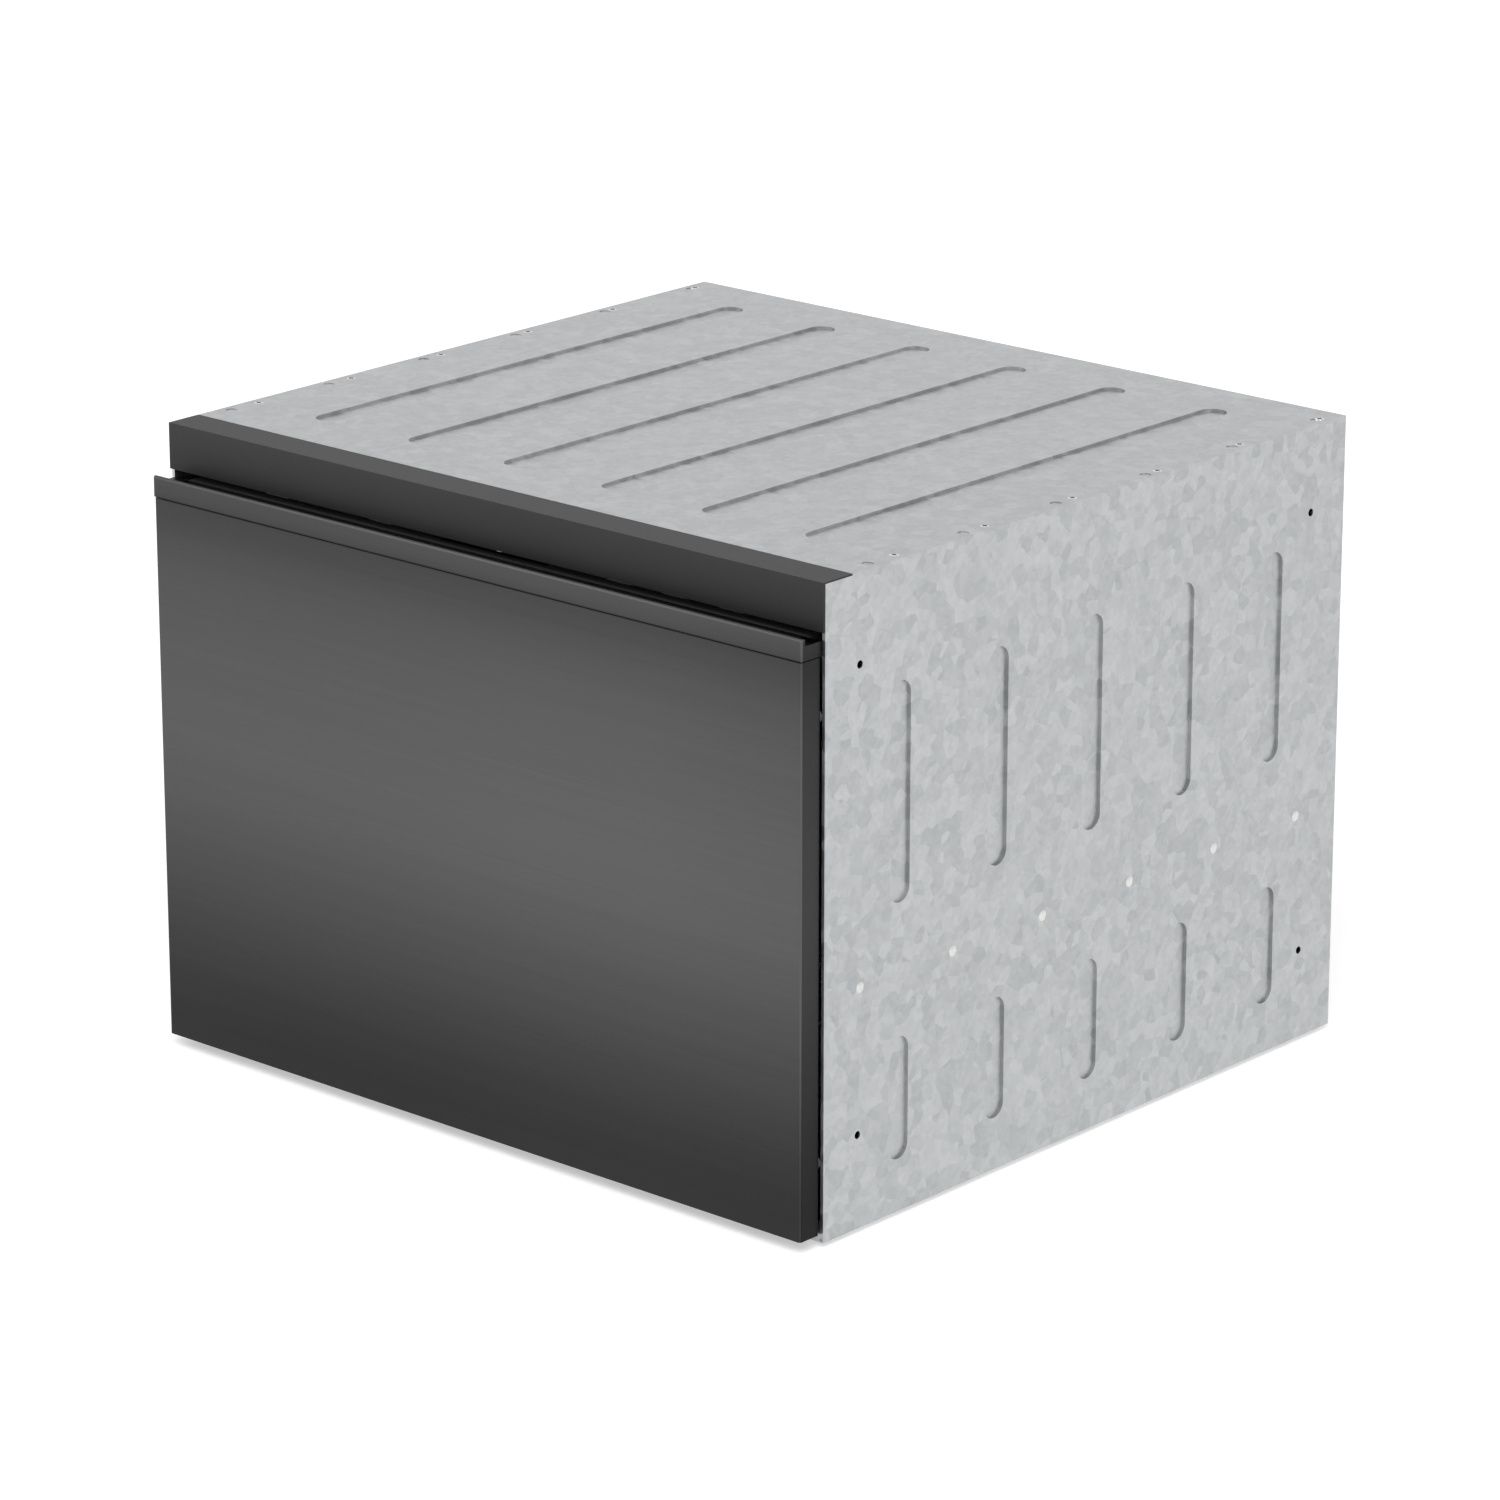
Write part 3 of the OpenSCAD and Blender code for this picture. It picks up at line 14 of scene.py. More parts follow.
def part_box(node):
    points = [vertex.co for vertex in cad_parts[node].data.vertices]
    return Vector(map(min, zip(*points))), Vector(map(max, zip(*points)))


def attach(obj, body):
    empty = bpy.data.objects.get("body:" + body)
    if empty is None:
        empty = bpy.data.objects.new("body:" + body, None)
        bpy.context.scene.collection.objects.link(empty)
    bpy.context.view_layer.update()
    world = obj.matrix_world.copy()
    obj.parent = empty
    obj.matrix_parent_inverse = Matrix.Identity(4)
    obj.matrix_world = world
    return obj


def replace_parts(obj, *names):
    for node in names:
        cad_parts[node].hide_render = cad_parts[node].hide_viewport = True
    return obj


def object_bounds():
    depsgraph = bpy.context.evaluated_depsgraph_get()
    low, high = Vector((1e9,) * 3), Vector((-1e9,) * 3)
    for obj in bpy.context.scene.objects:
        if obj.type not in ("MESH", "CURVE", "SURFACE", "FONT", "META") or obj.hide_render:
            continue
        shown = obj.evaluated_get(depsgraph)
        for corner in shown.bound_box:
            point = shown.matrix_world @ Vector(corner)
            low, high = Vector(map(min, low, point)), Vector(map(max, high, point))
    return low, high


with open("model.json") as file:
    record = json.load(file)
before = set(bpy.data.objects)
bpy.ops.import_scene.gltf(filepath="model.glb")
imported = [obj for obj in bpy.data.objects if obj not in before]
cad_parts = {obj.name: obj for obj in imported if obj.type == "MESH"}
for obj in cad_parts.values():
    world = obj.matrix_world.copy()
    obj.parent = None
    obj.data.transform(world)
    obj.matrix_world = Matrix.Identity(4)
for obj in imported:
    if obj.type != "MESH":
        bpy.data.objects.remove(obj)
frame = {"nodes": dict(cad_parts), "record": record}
nodes = frame["nodes"]
cad_low, cad_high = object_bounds()
MM = 0.001
UP = Vector((0, 0, 1))
BACK = Vector((0, 1, 0))


def centre(node):
    """The middle of a CAD node's box."""
    low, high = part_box(node)
    return (low + high) / 2


print("CAD box in mm:", [round(v / MM, 1) for v in (*cad_low, *cad_high)])

# %% [markdown]
# Shader maths reads best as plain arithmetic. The class below wraps one output socket and overloads the
# operators, so that `0.3 + 0.1 * grain` adds its Math nodes by itself. Another way is to place each Math
# node by hand, but then the formula is lost among the wiring.

# %% Sockets that do arithmetic
def pick(sockets, key):
    """The socket at a place in the list, or the first enabled one of that name."""
    if isinstance(key, int):
        return sockets[key]
    return next(s for s in sockets if s.enabled and key in (s.name, s.identifier))


class Signal:
    """One output socket of a node tree, used like a number."""

    def __init__(self, tree, socket):
        self.tree = tree
        self.socket = socket

    def out(self, key):
        return Signal(self.tree, pick(self.socket.node.outputs, key))

    def maths(self, operation, *values):
        inputs = dict(enumerate(values))
        return self.tree.node("ShaderNodeMath", {"operation": operation}, inputs)

    def __add__(self, other):
        return self.maths("ADD", self, other)

    def __radd__(self, other):
        return self.maths("ADD", other, self)

    def __sub__(self, other):
        return self.maths("SUBTRACT", self, other)

    def __rsub__(self, other):
        return self.maths("SUBTRACT", other, self)

    def __mul__(self, other):
        return self.maths("MULTIPLY", self, other)

    def __rmul__(self, other):
        return self.maths("MULTIPLY", other, self)

    def __truediv__(self, other):
        return self.maths("DIVIDE", self, other)

    def __or__(self, other):
        return self.maths("MAXIMUM", self, other)

    def limit(self):
        return self.maths("MINIMUM", self | 0.0, 1.0)


class Tree:
    """A node tree that makes any node from its type, its settings and its inputs."""

    def __init__(self, tree):
        self.tree = tree

    def node(self, kind, settings=None, inputs=None, out=0):
        made = self.tree.nodes.new(kind)
        for name, value in (settings or {}).items():
            if name == "stops":
                self.set_stops(made.color_ramp, value)
            else:
                setattr(made, name, value)
        for key, value in (inputs or {}).items():
            socket = pick(made.inputs, key)
            if isinstance(value, Signal):
                self.tree.links.new(value.socket, socket)
            else:
                socket.default_value = value
        return Signal(self, pick(made.outputs, out)) if made.outputs else made

    def set_stops(self, ramp, stops):
        while len(ramp.elements) < len(stops):
            ramp.elements.new(1.0)
        for element, (place, grey) in zip(ramp.elements, stops):
            element.position = place
            element.color = (grey, grey, grey, 1)


print("helpers ready")

# %% [markdown]
# Every finish in the machine is a Principled shader that is fed by patterns in object space. A CAD node
# sits at the origin with its place in its mesh, so Object coordinates are plain metres, and a pattern
# has its real scale on every piece without any unwrapping.

# %% A finish and its patterns
class Finish(Tree):
    """A material under construction: patterns first, then surface()."""

    def __init__(self, name):
        self.material = bpy.data.materials.new(name)
        self.material.use_nodes = True
        super().__init__(self.material.node_tree)
        self.tree.nodes.clear()
        self.place = self.node("ShaderNodeTexCoord", out="Object")

    def stretched(self, x, y, z):
        """Object coordinates scaled along each axis: a small factor makes long streaks."""
        inputs = {"Vector": self.place, "Scale": (x, y, z)}
        return self.node("ShaderNodeMapping", {}, inputs)

    def axis(self, letter):
        return self.node("ShaderNodeSeparateXYZ", {}, {0: self.place}, out=letter)

    def noise(self, scale, detail=2.0, rough=0.5, where=None):
        inputs = {"Vector": where or self.place, "Scale": scale, "Detail": detail, "Roughness": rough}
        return self.node("ShaderNodeTexNoise", {}, inputs)

    def cells(self, scale, out="Color", feature="F1", where=None):
        inputs = {"Vector": where or self.place, "Scale": scale}
        return self.node("ShaderNodeTexVoronoi", {"feature": feature}, inputs, out=out)

    def ramp(self, value, stops):
        return self.node("ShaderNodeValToRGB", {"stops": stops}, {0: value})

    def blend(self, dark, light, amount):
        inputs = {"Factor": amount, "A": (*dark, 1), "B": (*light, 1)}
        return self.node("ShaderNodeMix", {"data_type": "RGBA"}, inputs, out="Result")

    def bump(self, height, strength, depth):
        inputs = {"Height": height, "Strength": strength, "Distance": depth}
        return self.node("ShaderNodeBump", {}, inputs)

    def surface(self, **inputs):
        named = {key.replace("_", " "): value for key, value in inputs.items()}
        shader = self.node("ShaderNodeBsdfPrincipled", {}, named)
        self.node("ShaderNodeOutputMaterial", {}, {"Surface": shader})
        return self.material


def tinted(colour, factor):
    return tuple(channel * factor for channel in colour)


finishes = {}
print("finish class ready")

# %% [markdown]
# The front is stainless steel with a dark coat, brushed from side to side. The brush leaves hair-fine
# streaks along X: noise whose coordinates are stretched a few hundred times in the other directions. The
# streaks move the colour, the roughness and a very small bump together. Anisotropy then smears each
# highlight across the grain, as the real sheet does.
#
# The room in the photograph shows in the steel as one broad soft band. Its profile was read off the
# picture from the foot of the front to the top of the grip, and is painted into the colour as a ramp over
# that height, with a milder ramp from side to side: a painted reflection. A folded edge catches more light
# than the face beside it, and an open seam less, so the fold and the top edge of the grip get a painted
# highlight, and the fold's side return and the seam get painted shade.

# %% Dark brushed steel
steel_colour = (0.1035, 0.1035, 0.105)
painted_reflection_up = [(0.0, 0.34), (0.04, 0.32), (0.075, 0.34), (0.125, 0.385), (0.185, 0.47), (0.245, 0.57),
            (0.305, 0.67), (0.37, 0.785), (0.43, 0.89), (0.49, 0.955), (0.56, 1.0), (0.635, 0.978),
            (0.71, 0.925), (0.78, 0.87), (0.84, 0.81), (0.89, 0.71), (0.925, 0.6), (0.95, 0.54),
            (0.964, 0.54), (0.978, 0.64), (1.0, 0.72)]
painted_reflection_across = [(0.0, 0.86), (0.2, 0.885), (0.4, 0.925), (0.6, 0.98), (0.78, 1.0), (1.0, 0.95)]
fold_line = 1.6 * MM
face_depth = 0.6 * MM
crest_line = 2.0 * MM
seam_middle = 0.35 * MM
slit_reach = 1.3 * MM


def dark_steel():
    steel = Finish("dark_brushed_steel")
    hair = steel.noise(1.0, 4.0, 0.65, steel.stretched(5, 900, 1500))
    line = steel.noise(1.0, 3.0, 0.6, steel.stretched(3, 260, 420))
    band = steel.noise(1.0, 2.0, 0.5, steel.stretched(1.5, 50, 90))
    streak = 0.82 + 0.14 * hair + 0.14 * line + 0.08 * band
    foot, seam = (corner.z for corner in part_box("front_panel"))
    face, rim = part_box("grip_strip")[0].y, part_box("grip_strip")[1]
    x, y, z = (steel.axis(letter) for letter in "XYZ")
    # painted reflection: the room's soft band is painted into the colour by height and, more mildly, from
    # side to side
    painted_band = steel.ramp((z - foot) / (rim.z - foot), painted_reflection_up)
    tone = painted_band * steel.ramp(x / (2 * rim.x) + 0.5, painted_reflection_across)
    # painted highlight on the folded edge and on the top edge of the grip, painted shade on the fold's side
    # return and in the seam
    edge = ((x.maths("ABSOLUTE", x) - rim.x + fold_line) / MM).limit()
    behind = ((y - face - face_depth) / MM).limit()
    crest = ((z - rim.z + crest_line) / MM).limit()
    gap = z - seam - seam_middle
    painted_seam_shade = 1 - (gap.maths("ABSOLUTE", gap) / slit_reach).limit()
    painted_lines = 1 + 0.5 * edge * (1 - behind) - 0.55 * edge * behind
    painted_lines = painted_lines + 0.3 * crest - 0.6 * painted_seam_shade * (1 - behind)
    colour = steel.blend((0.0, 0.0, 0.0), steel_colour, tone * streak * painted_lines)
    rough = 0.3 + 0.12 * hair
    return steel.surface(Base_Color=colour, Metallic=1.0, Roughness=rough, Anisotropic=0.6,
                         Anisotropic_Rotation=0.25, Normal=steel.bump(hair, 0.12, 0.0002))


finishes["dark_steel"] = dark_steel()
print("made", finishes["dark_steel"].name)

# %% [markdown]
# The fascia is powder-coated. Powder melts into a skin with a faint orange peel, which is a soft low bump
# of a few millimetres under a much finer grain. In the photograph the band lies in shade towards its foot,
# above the dark trough, so the tone rises with the height: this is painted shade.

# %% Powder-coated fascia
def powder_coat():
    coat = Finish("dark_powder_coat")
    peel = coat.noise(420.0, 2.0)
    grain = coat.noise(2600.0, 1.0)
    cloud = coat.noise(14.0, 2.0)
    skin = coat.bump(peel * 0.7 + grain * 0.3, 0.25, 0.0004)
    low, high = (corner.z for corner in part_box("top_fascia"))
    # painted shade: the tone falls towards the fascia's lower edge, above the shaded trough
    rise = 0.5 + 0.5 * (coat.axis("Z") - low) / (high - low)
    tone = coat.blend((0.0, 0.0, 0.0), (0.02968, 0.02968, 0.03024), (0.8 + 0.2 * cloud) * rise)
    return coat.surface(Base_Color=tone, Roughness=0.46 + 0.12 * grain, Specular_IOR_Level=0.25,
                        Normal=skin)


finishes["dark_trim"] = powder_coat()
print("made", finishes["dark_trim"].name)

# %% [markdown]
# The chassis is hot-dip galvanised sheet. Zinc freezes into flat crystals of about a centimetre, each
# with its own tone and its own gloss. Voronoi cells give each crystal one random value, and a fine noise
# over them keeps the sheet from looking like a tiled floor.

# %% Galvanised sheet
def galvanised():
    zinc = Finish("galvanised_sheet")
    warp = zinc.noise(60.0, 3.0)
    crystal = zinc.cells(95.0)
    facet = zinc.node("ShaderNodeSeparateColor", {}, {0: crystal}, out="Red")
    small = zinc.node("ShaderNodeSeparateColor", {}, {0: zinc.cells(240.0)}, out="Green")
    dust = zinc.noise(900.0, 2.0)
    tone = (0.55 * facet + 0.2 * small + 0.25 * warp).limit()
    colour = zinc.blend((0.35, 0.362, 0.37), (0.565, 0.575, 0.58), tone)
    rough = 0.30 + 0.2 * facet + 0.08 * dust
    return zinc.surface(Base_Color=colour, Metallic=1.0, Roughness=rough,
                        Normal=zinc.bump(dust, 0.08, 0.0002))


finishes["galvanised"] = galvanised()
print("made", finishes["galvanised"].name)

# %% [markdown]
# The telescopic runners and the screws are bright zinc. Cold rolling leaves lines along the runner, so
# the same streak trick serves, now stretched along Y, under a thin and patchy film of grease.

# %% Bright zinc
def bright_zinc(name, colour, along):
    zinc = Finish(name)
    line = zinc.noise(1.0, 3.0, 0.6, zinc.stretched(*along))
    grease = zinc.noise(28.0, 3.0)
    tone = zinc.blend(tinted(colour, 0.8), tinted(colour, 1.05), 0.6 * line + 0.4 * grease)
    film = zinc.ramp(grease, [(0.45, 0.0), (0.7, 0.5)])
    rough = 0.2 + 0.16 * line
    return zinc.surface(Base_Color=tone, Metallic=1.0, Roughness=rough, Coat_Weight=film, Coat_Roughness=0.2,
                        Normal=zinc.bump(line, 0.06, 0.0002))


finishes["runner_steel"] = bright_zinc("runner_zinc", (0.56, 0.57, 0.58), (900, 6, 900))
finishes["screw_steel"] = bright_zinc("screw_zinc", (0.70, 0.70, 0.68), (400, 400, 400))
print("made", finishes["runner_steel"].name, finishes["screw_steel"].name)

# %% [markdown]
# Moulded plastics share one recipe: a spark-eroded texture in the mould gives a fine even grain, and the
# flow of the melt gives a slow drift in gloss. Only the colour, the gloss, the grain and a clear coat
# change from piece to piece, so one function makes them all.

# %% Moulded plastics
def moulded(name, colour, gloss, grain_scale=1400.0, grain_depth=0.12, coat=0.0):
    plastic = Finish(name)
    grain = plastic.noise(grain_scale, 2.0, 0.6)
    flow = plastic.noise(9.0, 3.0)
    rub = plastic.noise(70.0, 4.0, 0.7)
    tone = plastic.blend(tinted(colour, 0.93), tinted(colour, 1.05), 0.5 * flow + 0.5 * rub)
    rough = gloss + 0.1 * rub + 0.06 * flow
    skin = plastic.bump(grain, grain_depth, 0.0003)
    return plastic.surface(Base_Color=tone, Roughness=rough, Specular_IOR_Level=0.45, Coat_Weight=coat,
                           Coat_Roughness=0.25, Normal=skin)


finishes["tub_grey"] = moulded("tub_polypropylene", (0.53, 0.55, 0.57), 0.28, 700.0, 0.05)
finishes["white_plastic"] = moulded("white_moulding", (0.80, 0.80, 0.78), 0.34)
finishes["grey_plastic"] = moulded("grey_moulding", (0.30, 0.31, 0.33), 0.4)
finishes["dark_plastic"] = moulded("dark_moulding", (0.05, 0.052, 0.055), 0.42)
finishes["cap_blue"] = moulded("blue_cap", (0.10, 0.24, 0.38), 0.3)
finishes["rack_wire"] = moulded("nylon_coated_wire", (0.34, 0.36, 0.37), 0.26, 500.0, 0.1, 0.3)
finishes["hose_grey"] = moulded("hose_rubber", (0.30, 0.31, 0.33), 0.5, 900.0, 0.15)
print("made", len(finishes), "finishes so far")

# %% [markdown]
# Rubber is the plastics recipe with more tooth and a dusty bloom. Dust gathers where the surface is
# open, so the bloom is a soft noise that lightens the colour and dulls the gloss.

# %% Rubber
def rubber():
    gum = Finish("seal_rubber")
    bloom = gum.ramp(gum.noise(45.0, 4.0, 0.65), [(0.35, 0.0), (0.8, 1.0)])
    tooth = gum.noise(1900.0, 2.0)
    colour = gum.blend((0.045, 0.045, 0.048), (0.11, 0.11, 0.112), bloom)
    return gum.surface(Base_Color=colour, Roughness=0.55 + 0.2 * bloom, Specular_IOR_Level=0.35,
                       Normal=gum.bump(tooth, 0.2, 0.0003))


finishes["seal_rubber"] = rubber()
print("made", finishes["seal_rubber"].name)

# %% [markdown]
# The display window is smoked acrylic, almost black with a hard gloss, so it is a dark base under a full
# clear coat. Fingerprints are a slow noise in the coat's weight.

# %% Smoked window
def smoked_window():
    glass = Finish("smoked_window")
    smear = glass.noise(35.0, 4.0, 0.6)
    colour = glass.blend((0.006, 0.006, 0.008), (0.016, 0.017, 0.02), smear)
    return glass.surface(Base_Color=colour, Roughness=0.06 + 0.05 * smear, Coat_Weight=1.0 - 0.2 * smear,
                         Coat_Roughness=0.04)


finishes["display_glass"] = smoked_window()
print("made", finishes["display_glass"].name)

# %% [markdown]
# A circuit board is green lacquer over copper tracks. The tracks show as slightly lighter lines, which
# the edges of stretched Voronoi cells imitate well at this size.

# %% Circuit board
def circuit_board():
    board = Finish("circuit_board")
    edge = board.cells(160.0, "Distance", "DISTANCE_TO_EDGE", board.stretched(1, 1.8, 1))
    track = board.ramp(edge, [(0.04, 1.0), (0.07, 0.0)])
    colour = board.blend((0.02, 0.12, 0.05), (0.05, 0.24, 0.10), track)
    return board.surface(Base_Color=colour, Roughness=0.3 + 0.1 * board.noise(200.0), Coat_Weight=0.4,
                         Normal=board.bump(track, 0.3, 0.0002))


finishes["circuit_board"] = circuit_board()
print("made", finishes["circuit_board"].name)

# %% [markdown]
# The record says which finish each CAD node has. Its mesh stays as it is, and only its material slot
# changes.

# %% Dress the CAD nodes
for part in frame["record"]["subparts"]:
    mesh = nodes[part["node"]].data
    mesh.materials.clear()
    mesh.materials.append(finishes[part["material_slot"]])
print("dressed", len(nodes), "nodes")

# %% [markdown]
# New pieces need three things: a mesh that is already in place, a body that carries them and the slot of
# their finish. One function gives them all, so a piece can't be left riding on nothing.

# %% Add a piece
def placed(name, data):
    """A new object in the scene, at the origin."""
    thing = bpy.data.objects.new(name, data)
    bpy.context.scene.collection.objects.link(thing)
    return thing


def add_piece(name, mesh, body, slot, smooth=40.0):
    mesh.name = name
    piece = placed(name, mesh)
    if not mesh.materials:
        mesh.materials.append(finishes[slot])
    mesh.shade_smooth()
    mesh.set_sharp_from_angle(angle=math.radians(smooth))
    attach(piece, body)
    print(f"{name}: {len(mesh.polygons)} faces on {body}")
    return piece


def opened(mesh):
    """A mesh as a shape that can still be edited."""
    shape = bmesh.new()
    shape.from_mesh(mesh)
    return shape


def to_mesh(shape, name):
    mesh = bpy.data.meshes.new(name)
    bmesh.ops.recalc_face_normals(shape, faces=shape.faces)
    shape.to_mesh(mesh)
    shape.free()
    return mesh


# %% [markdown]
# Most small hardware is turned or could be: screws, rivets, nozzles, nuts. A lathe function spins a
# profile of (radius, height) points about Z, welds the poles and returns a closed mesh.

# %% Lathe
def turned(name, profile, sides=24):
    shape = bmesh.new()
    loop = [shape.verts.new((r, 0, z)) for r, z in profile]
    edges = [shape.edges.new(pair) for pair in zip(loop, loop[1:])]
    bmesh.ops.spin(shape, geom=loop + edges, cent=(0, 0, 0), axis=(0, 0, 1), angle=2 * math.pi, steps=sides)
    bmesh.ops.remove_doubles(shape, verts=shape.verts, dist=1e-6)
    return to_mesh(shape, name)


def boxed(low, high, soft=0.0, steps=2):
    """A box between two corners with rounded edges."""
    shape = bmesh.new()
    middle = (Vector(low) + Vector(high)) / 2
    size = Vector(high) - Vector(low)
    matrix = Matrix.Translation(middle) @ Matrix.Diagonal((*size, 1))
    bmesh.ops.create_cube(shape, size=1.0, matrix=matrix)
    if soft:
        bmesh.ops.bevel(shape, geom=shape.edges[:], offset=soft, segments=steps, profile=0.5, affect="EDGES")
    return shape


def joined(name, shapes):
    whole = bmesh.new()
    for shape in shapes:
        part = to_mesh(shape, "part")
        whole.from_mesh(part)
        bpy.data.meshes.remove(part)
    return to_mesh(whole, name)


print("lathe and box ready")

# %% [markdown]
# What repeats is scattered by one Geometry Nodes tree. Its input mesh has a vertex at each place and an
# attribute that says which way that copy faces. Instances are light to edit, but an export drops them,
# so the tree ends in Realize Instances and the result is baked to a plain mesh.

# %% Scatter tree
def geometry_tree(name, sizes):
    tree = bpy.data.node_groups.new(name, "GeometryNodeTree")
    tree.interface.new_socket("Geometry", in_out="OUTPUT", socket_type="NodeSocketGeometry")
    tree.interface.new_socket("Geometry", in_out="INPUT", socket_type="NodeSocketGeometry")
    for label, kind in sizes.items():
        tree.interface.new_socket(label, in_out="INPUT", socket_type=kind)
    return Tree(tree)


def close_tree(work, given, shape):
    """Ends a tree: plain geometry instead of instances, in the finish that was given."""
    solid = work.node("GeometryNodeRealizeInstances", {}, {0: shape})
    inputs = {"Geometry": solid, "Material": given.out("Finish")}
    work.node("NodeGroupOutput", {}, {0: work.node("GeometryNodeSetMaterial", {}, inputs)})
    return work.tree


def scatter_tree():
    sizes = {"Copy": "NodeSocketObject", "Finish": "NodeSocketMaterial"}
    work = geometry_tree("scatter", sizes)
    given = work.node("NodeGroupInput")
    copy = work.node("GeometryNodeObjectInfo", {}, {"Object": given.out("Copy")}, out="Geometry")
    facing = work.node("GeometryNodeInputNamedAttribute", {"data_type": "FLOAT_VECTOR"}, {"Name": "facing"})
    turn = work.node("FunctionNodeAlignRotationToVector", {"axis": "Z"}, {"Vector": facing})
    inputs = {"Points": given, "Instance": copy, "Rotation": turn}
    return close_tree(work, given, work.node("GeometryNodeInstanceOnPoints", {}, inputs))


def grown(name, base, tree, sizes):
    """Runs a tree on a base mesh or curve and returns the plain mesh that it grows."""
    seed = placed(name + "_seed", base)
    modifier = seed.modifiers.new("grow", "NODES")
    modifier.node_group = tree
    for item in tree.interface.items_tree:
        if item.in_out == "INPUT" and item.name in sizes:
            modifier[item.identifier] = sizes[item.name]
    seed.update_tag()
    bpy.context.view_layer.update()
    result = seed.evaluated_get(bpy.context.evaluated_depsgraph_get())
    mesh = bpy.data.meshes.new_from_object(result)
    seed.modifiers.clear()
    bpy.data.objects.remove(seed)
    return mesh


def scatter(name, copy_mesh, places, body, slot):
    """places: a list of (position, direction that the copy's Z faces)."""
    base = bpy.data.meshes.new(name + "_places")
    base.from_pydata([tuple(at) for at, way in places], [], [])
    facing = base.attributes.new("facing", "FLOAT_VECTOR", "POINT")
    for item, (at, way) in zip(facing.data, places):
        item.vector = way
    pattern = bpy.data.objects.new(name + "_copy", copy_mesh)
    mesh = grown(name, base, SCATTER, {"Copy": pattern, "Finish": finishes[slot]})
    bpy.data.objects.remove(pattern)
    return add_piece(name, mesh, body, slot)


SCATTER = scatter_tree()
print("scatter tree has", len(SCATTER.nodes), "nodes")

# %% [markdown]
# A hose is a smooth route with ribs along it. The tree resamples the curve finely, swells its radius
# with a sine of the distance along it, and sweeps a circle. Ribs that follow the length keep their
# pitch round the bends, which an array of rings wouldn't.

# %% Ribbed hose tree
def hose_tree():
    sizes = {"Radius": "NodeSocketFloat", "Rib": "NodeSocketFloat", "Pitch": "NodeSocketFloat",
             "Finish": "NodeSocketMaterial"}
    work = geometry_tree("ribbed_hose", sizes)
    given = work.node("NodeGroupInput")
    step = given.out("Pitch") / 6
    route = work.node("GeometryNodeResampleCurve", {"mode": "LENGTH"}, {"Curve": given, "Length": step})
    length = work.node("GeometryNodeSplineParameter", out="Length")
    wave = length * (2 * math.pi) / given.out("Pitch")
    swell = 1 + wave.maths("SINE", wave) * given.out("Rib") / given.out("Radius")
    round_sizes = {"Resolution": 16, "Radius": given.out("Radius")}
    ring = work.node("GeometryNodeCurvePrimitiveCircle", {}, round_sizes)
    inputs = {"Curve": route, "Profile Curve": ring, "Scale": swell, "Fill Caps": True}
    return close_tree(work, given, work.node("GeometryNodeCurveToMesh", {}, inputs))


def route_curve(name, points):
    curve = bpy.data.curves.new(name, "CURVE")
    curve.dimensions = "3D"
    line = curve.splines.new("BEZIER")
    line.bezier_points.add(len(points) - 1)
    for knot, point in zip(line.bezier_points, points):
        knot.co = point
        knot.handle_left_type = knot.handle_right_type = "AUTO"
    line.resolution_u = 24
    return curve


def hose(name, points, radius, body, slot="hose_grey", rib=0.0, pitch=0.004):
    sizes = {"Radius": radius, "Rib": rib, "Pitch": pitch, "Finish": finishes[slot]}
    return add_piece(name, grown(name, route_curve(name, points), HOSE, sizes), body, slot, 60.0)


HOSE = hose_tree()
print("hose tree has", len(HOSE.nodes), "nodes")

# %% [markdown]
# The screws are pan heads with a cross recess. The recess is real geometry: a cross-shaped ring is
# bridged to the round rim and then sunk, so it still reads as a screw when light rakes over it.

# %% Cross-head screw
def screw_head(radius, height):
    shape = bmesh.new()
    arm, web = radius * 0.5, radius * 0.14
    cross = []
    for quarter in range(4):
        turn = Matrix.Rotation(quarter * math.pi / 2, 3, "Z")
        for x, y in ((arm, -web), (arm, web), (web, web)):
            cross.append(turn @ Vector((x, y, height)))
    top = [shape.verts.new(p) for p in cross]
    foot = [shape.verts.new(p - Vector((0, 0, height * 0.7))) for p in cross]
    edge = [(0.72, 1.0), (0.92, 0.8), (1.0, 0.4), (1.0, 0.0)]
    angles = [(i - 0.5) * math.pi / 12 for i in range(24)]
    rings = []
    for scale, level in edge:
        rings.append([shape.verts.new((radius * scale * math.cos(a), radius * scale * math.sin(a),
                                       height * level)) for a in angles])
    for low, high in zip(rings, rings[1:]):
        for i in range(24):
            j = (i + 1) % 24
            shape.faces.new((low[i], low[j], high[j], high[i]))
    for i in range(12):
        j = (i + 1) % 12
        shape.faces.new((top[i], top[j], foot[j], foot[i]))
    shape.faces.new(foot)
    top_edges = [e for e in shape.edges if e.is_boundary and all(v in top for v in e.verts)]
    rim_edges = [e for e in shape.edges if e.is_boundary and all(v in rings[0] for v in e.verts)]
    bmesh.ops.bridge_loops(shape, edges=top_edges + rim_edges)
    return to_mesh(shape, "screw_head")


print("screw head has", len(screw_head(4 * MM, 2 * MM).polygons), "faces")

# %% [markdown]
# Each joint in the sheet metal gets its hardware: cross-head screws in the holes of the top cover, and
# low rivets where a runner is fixed through its side panel. Places are worked out from the CAD boxes.

# %% Cover screws and runner rivets
def evenly(low, high, count):
    return [low + (high - low) * i / (count - 1) for i in range(count)]


cover_low, cover_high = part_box("top_cover")
cover_edge = 8.2 * MM
front_inset = 50.4 * MM
rear_inset = 19.8 * MM
screw_seat = cover_high.z - 1.15 * MM
cover_rows = evenly(cover_low.y + front_inset, cover_high.y - rear_inset, 6)
cover_places = [(Vector((side * (cover_high.x - cover_edge), y, screw_seat)), UP)
                for side in (-1, 1) for y in cover_rows]
scatter("cover_screws", screw_head(3.6 * MM, 1.4 * MM), cover_places, "chassis", "screw_steel")

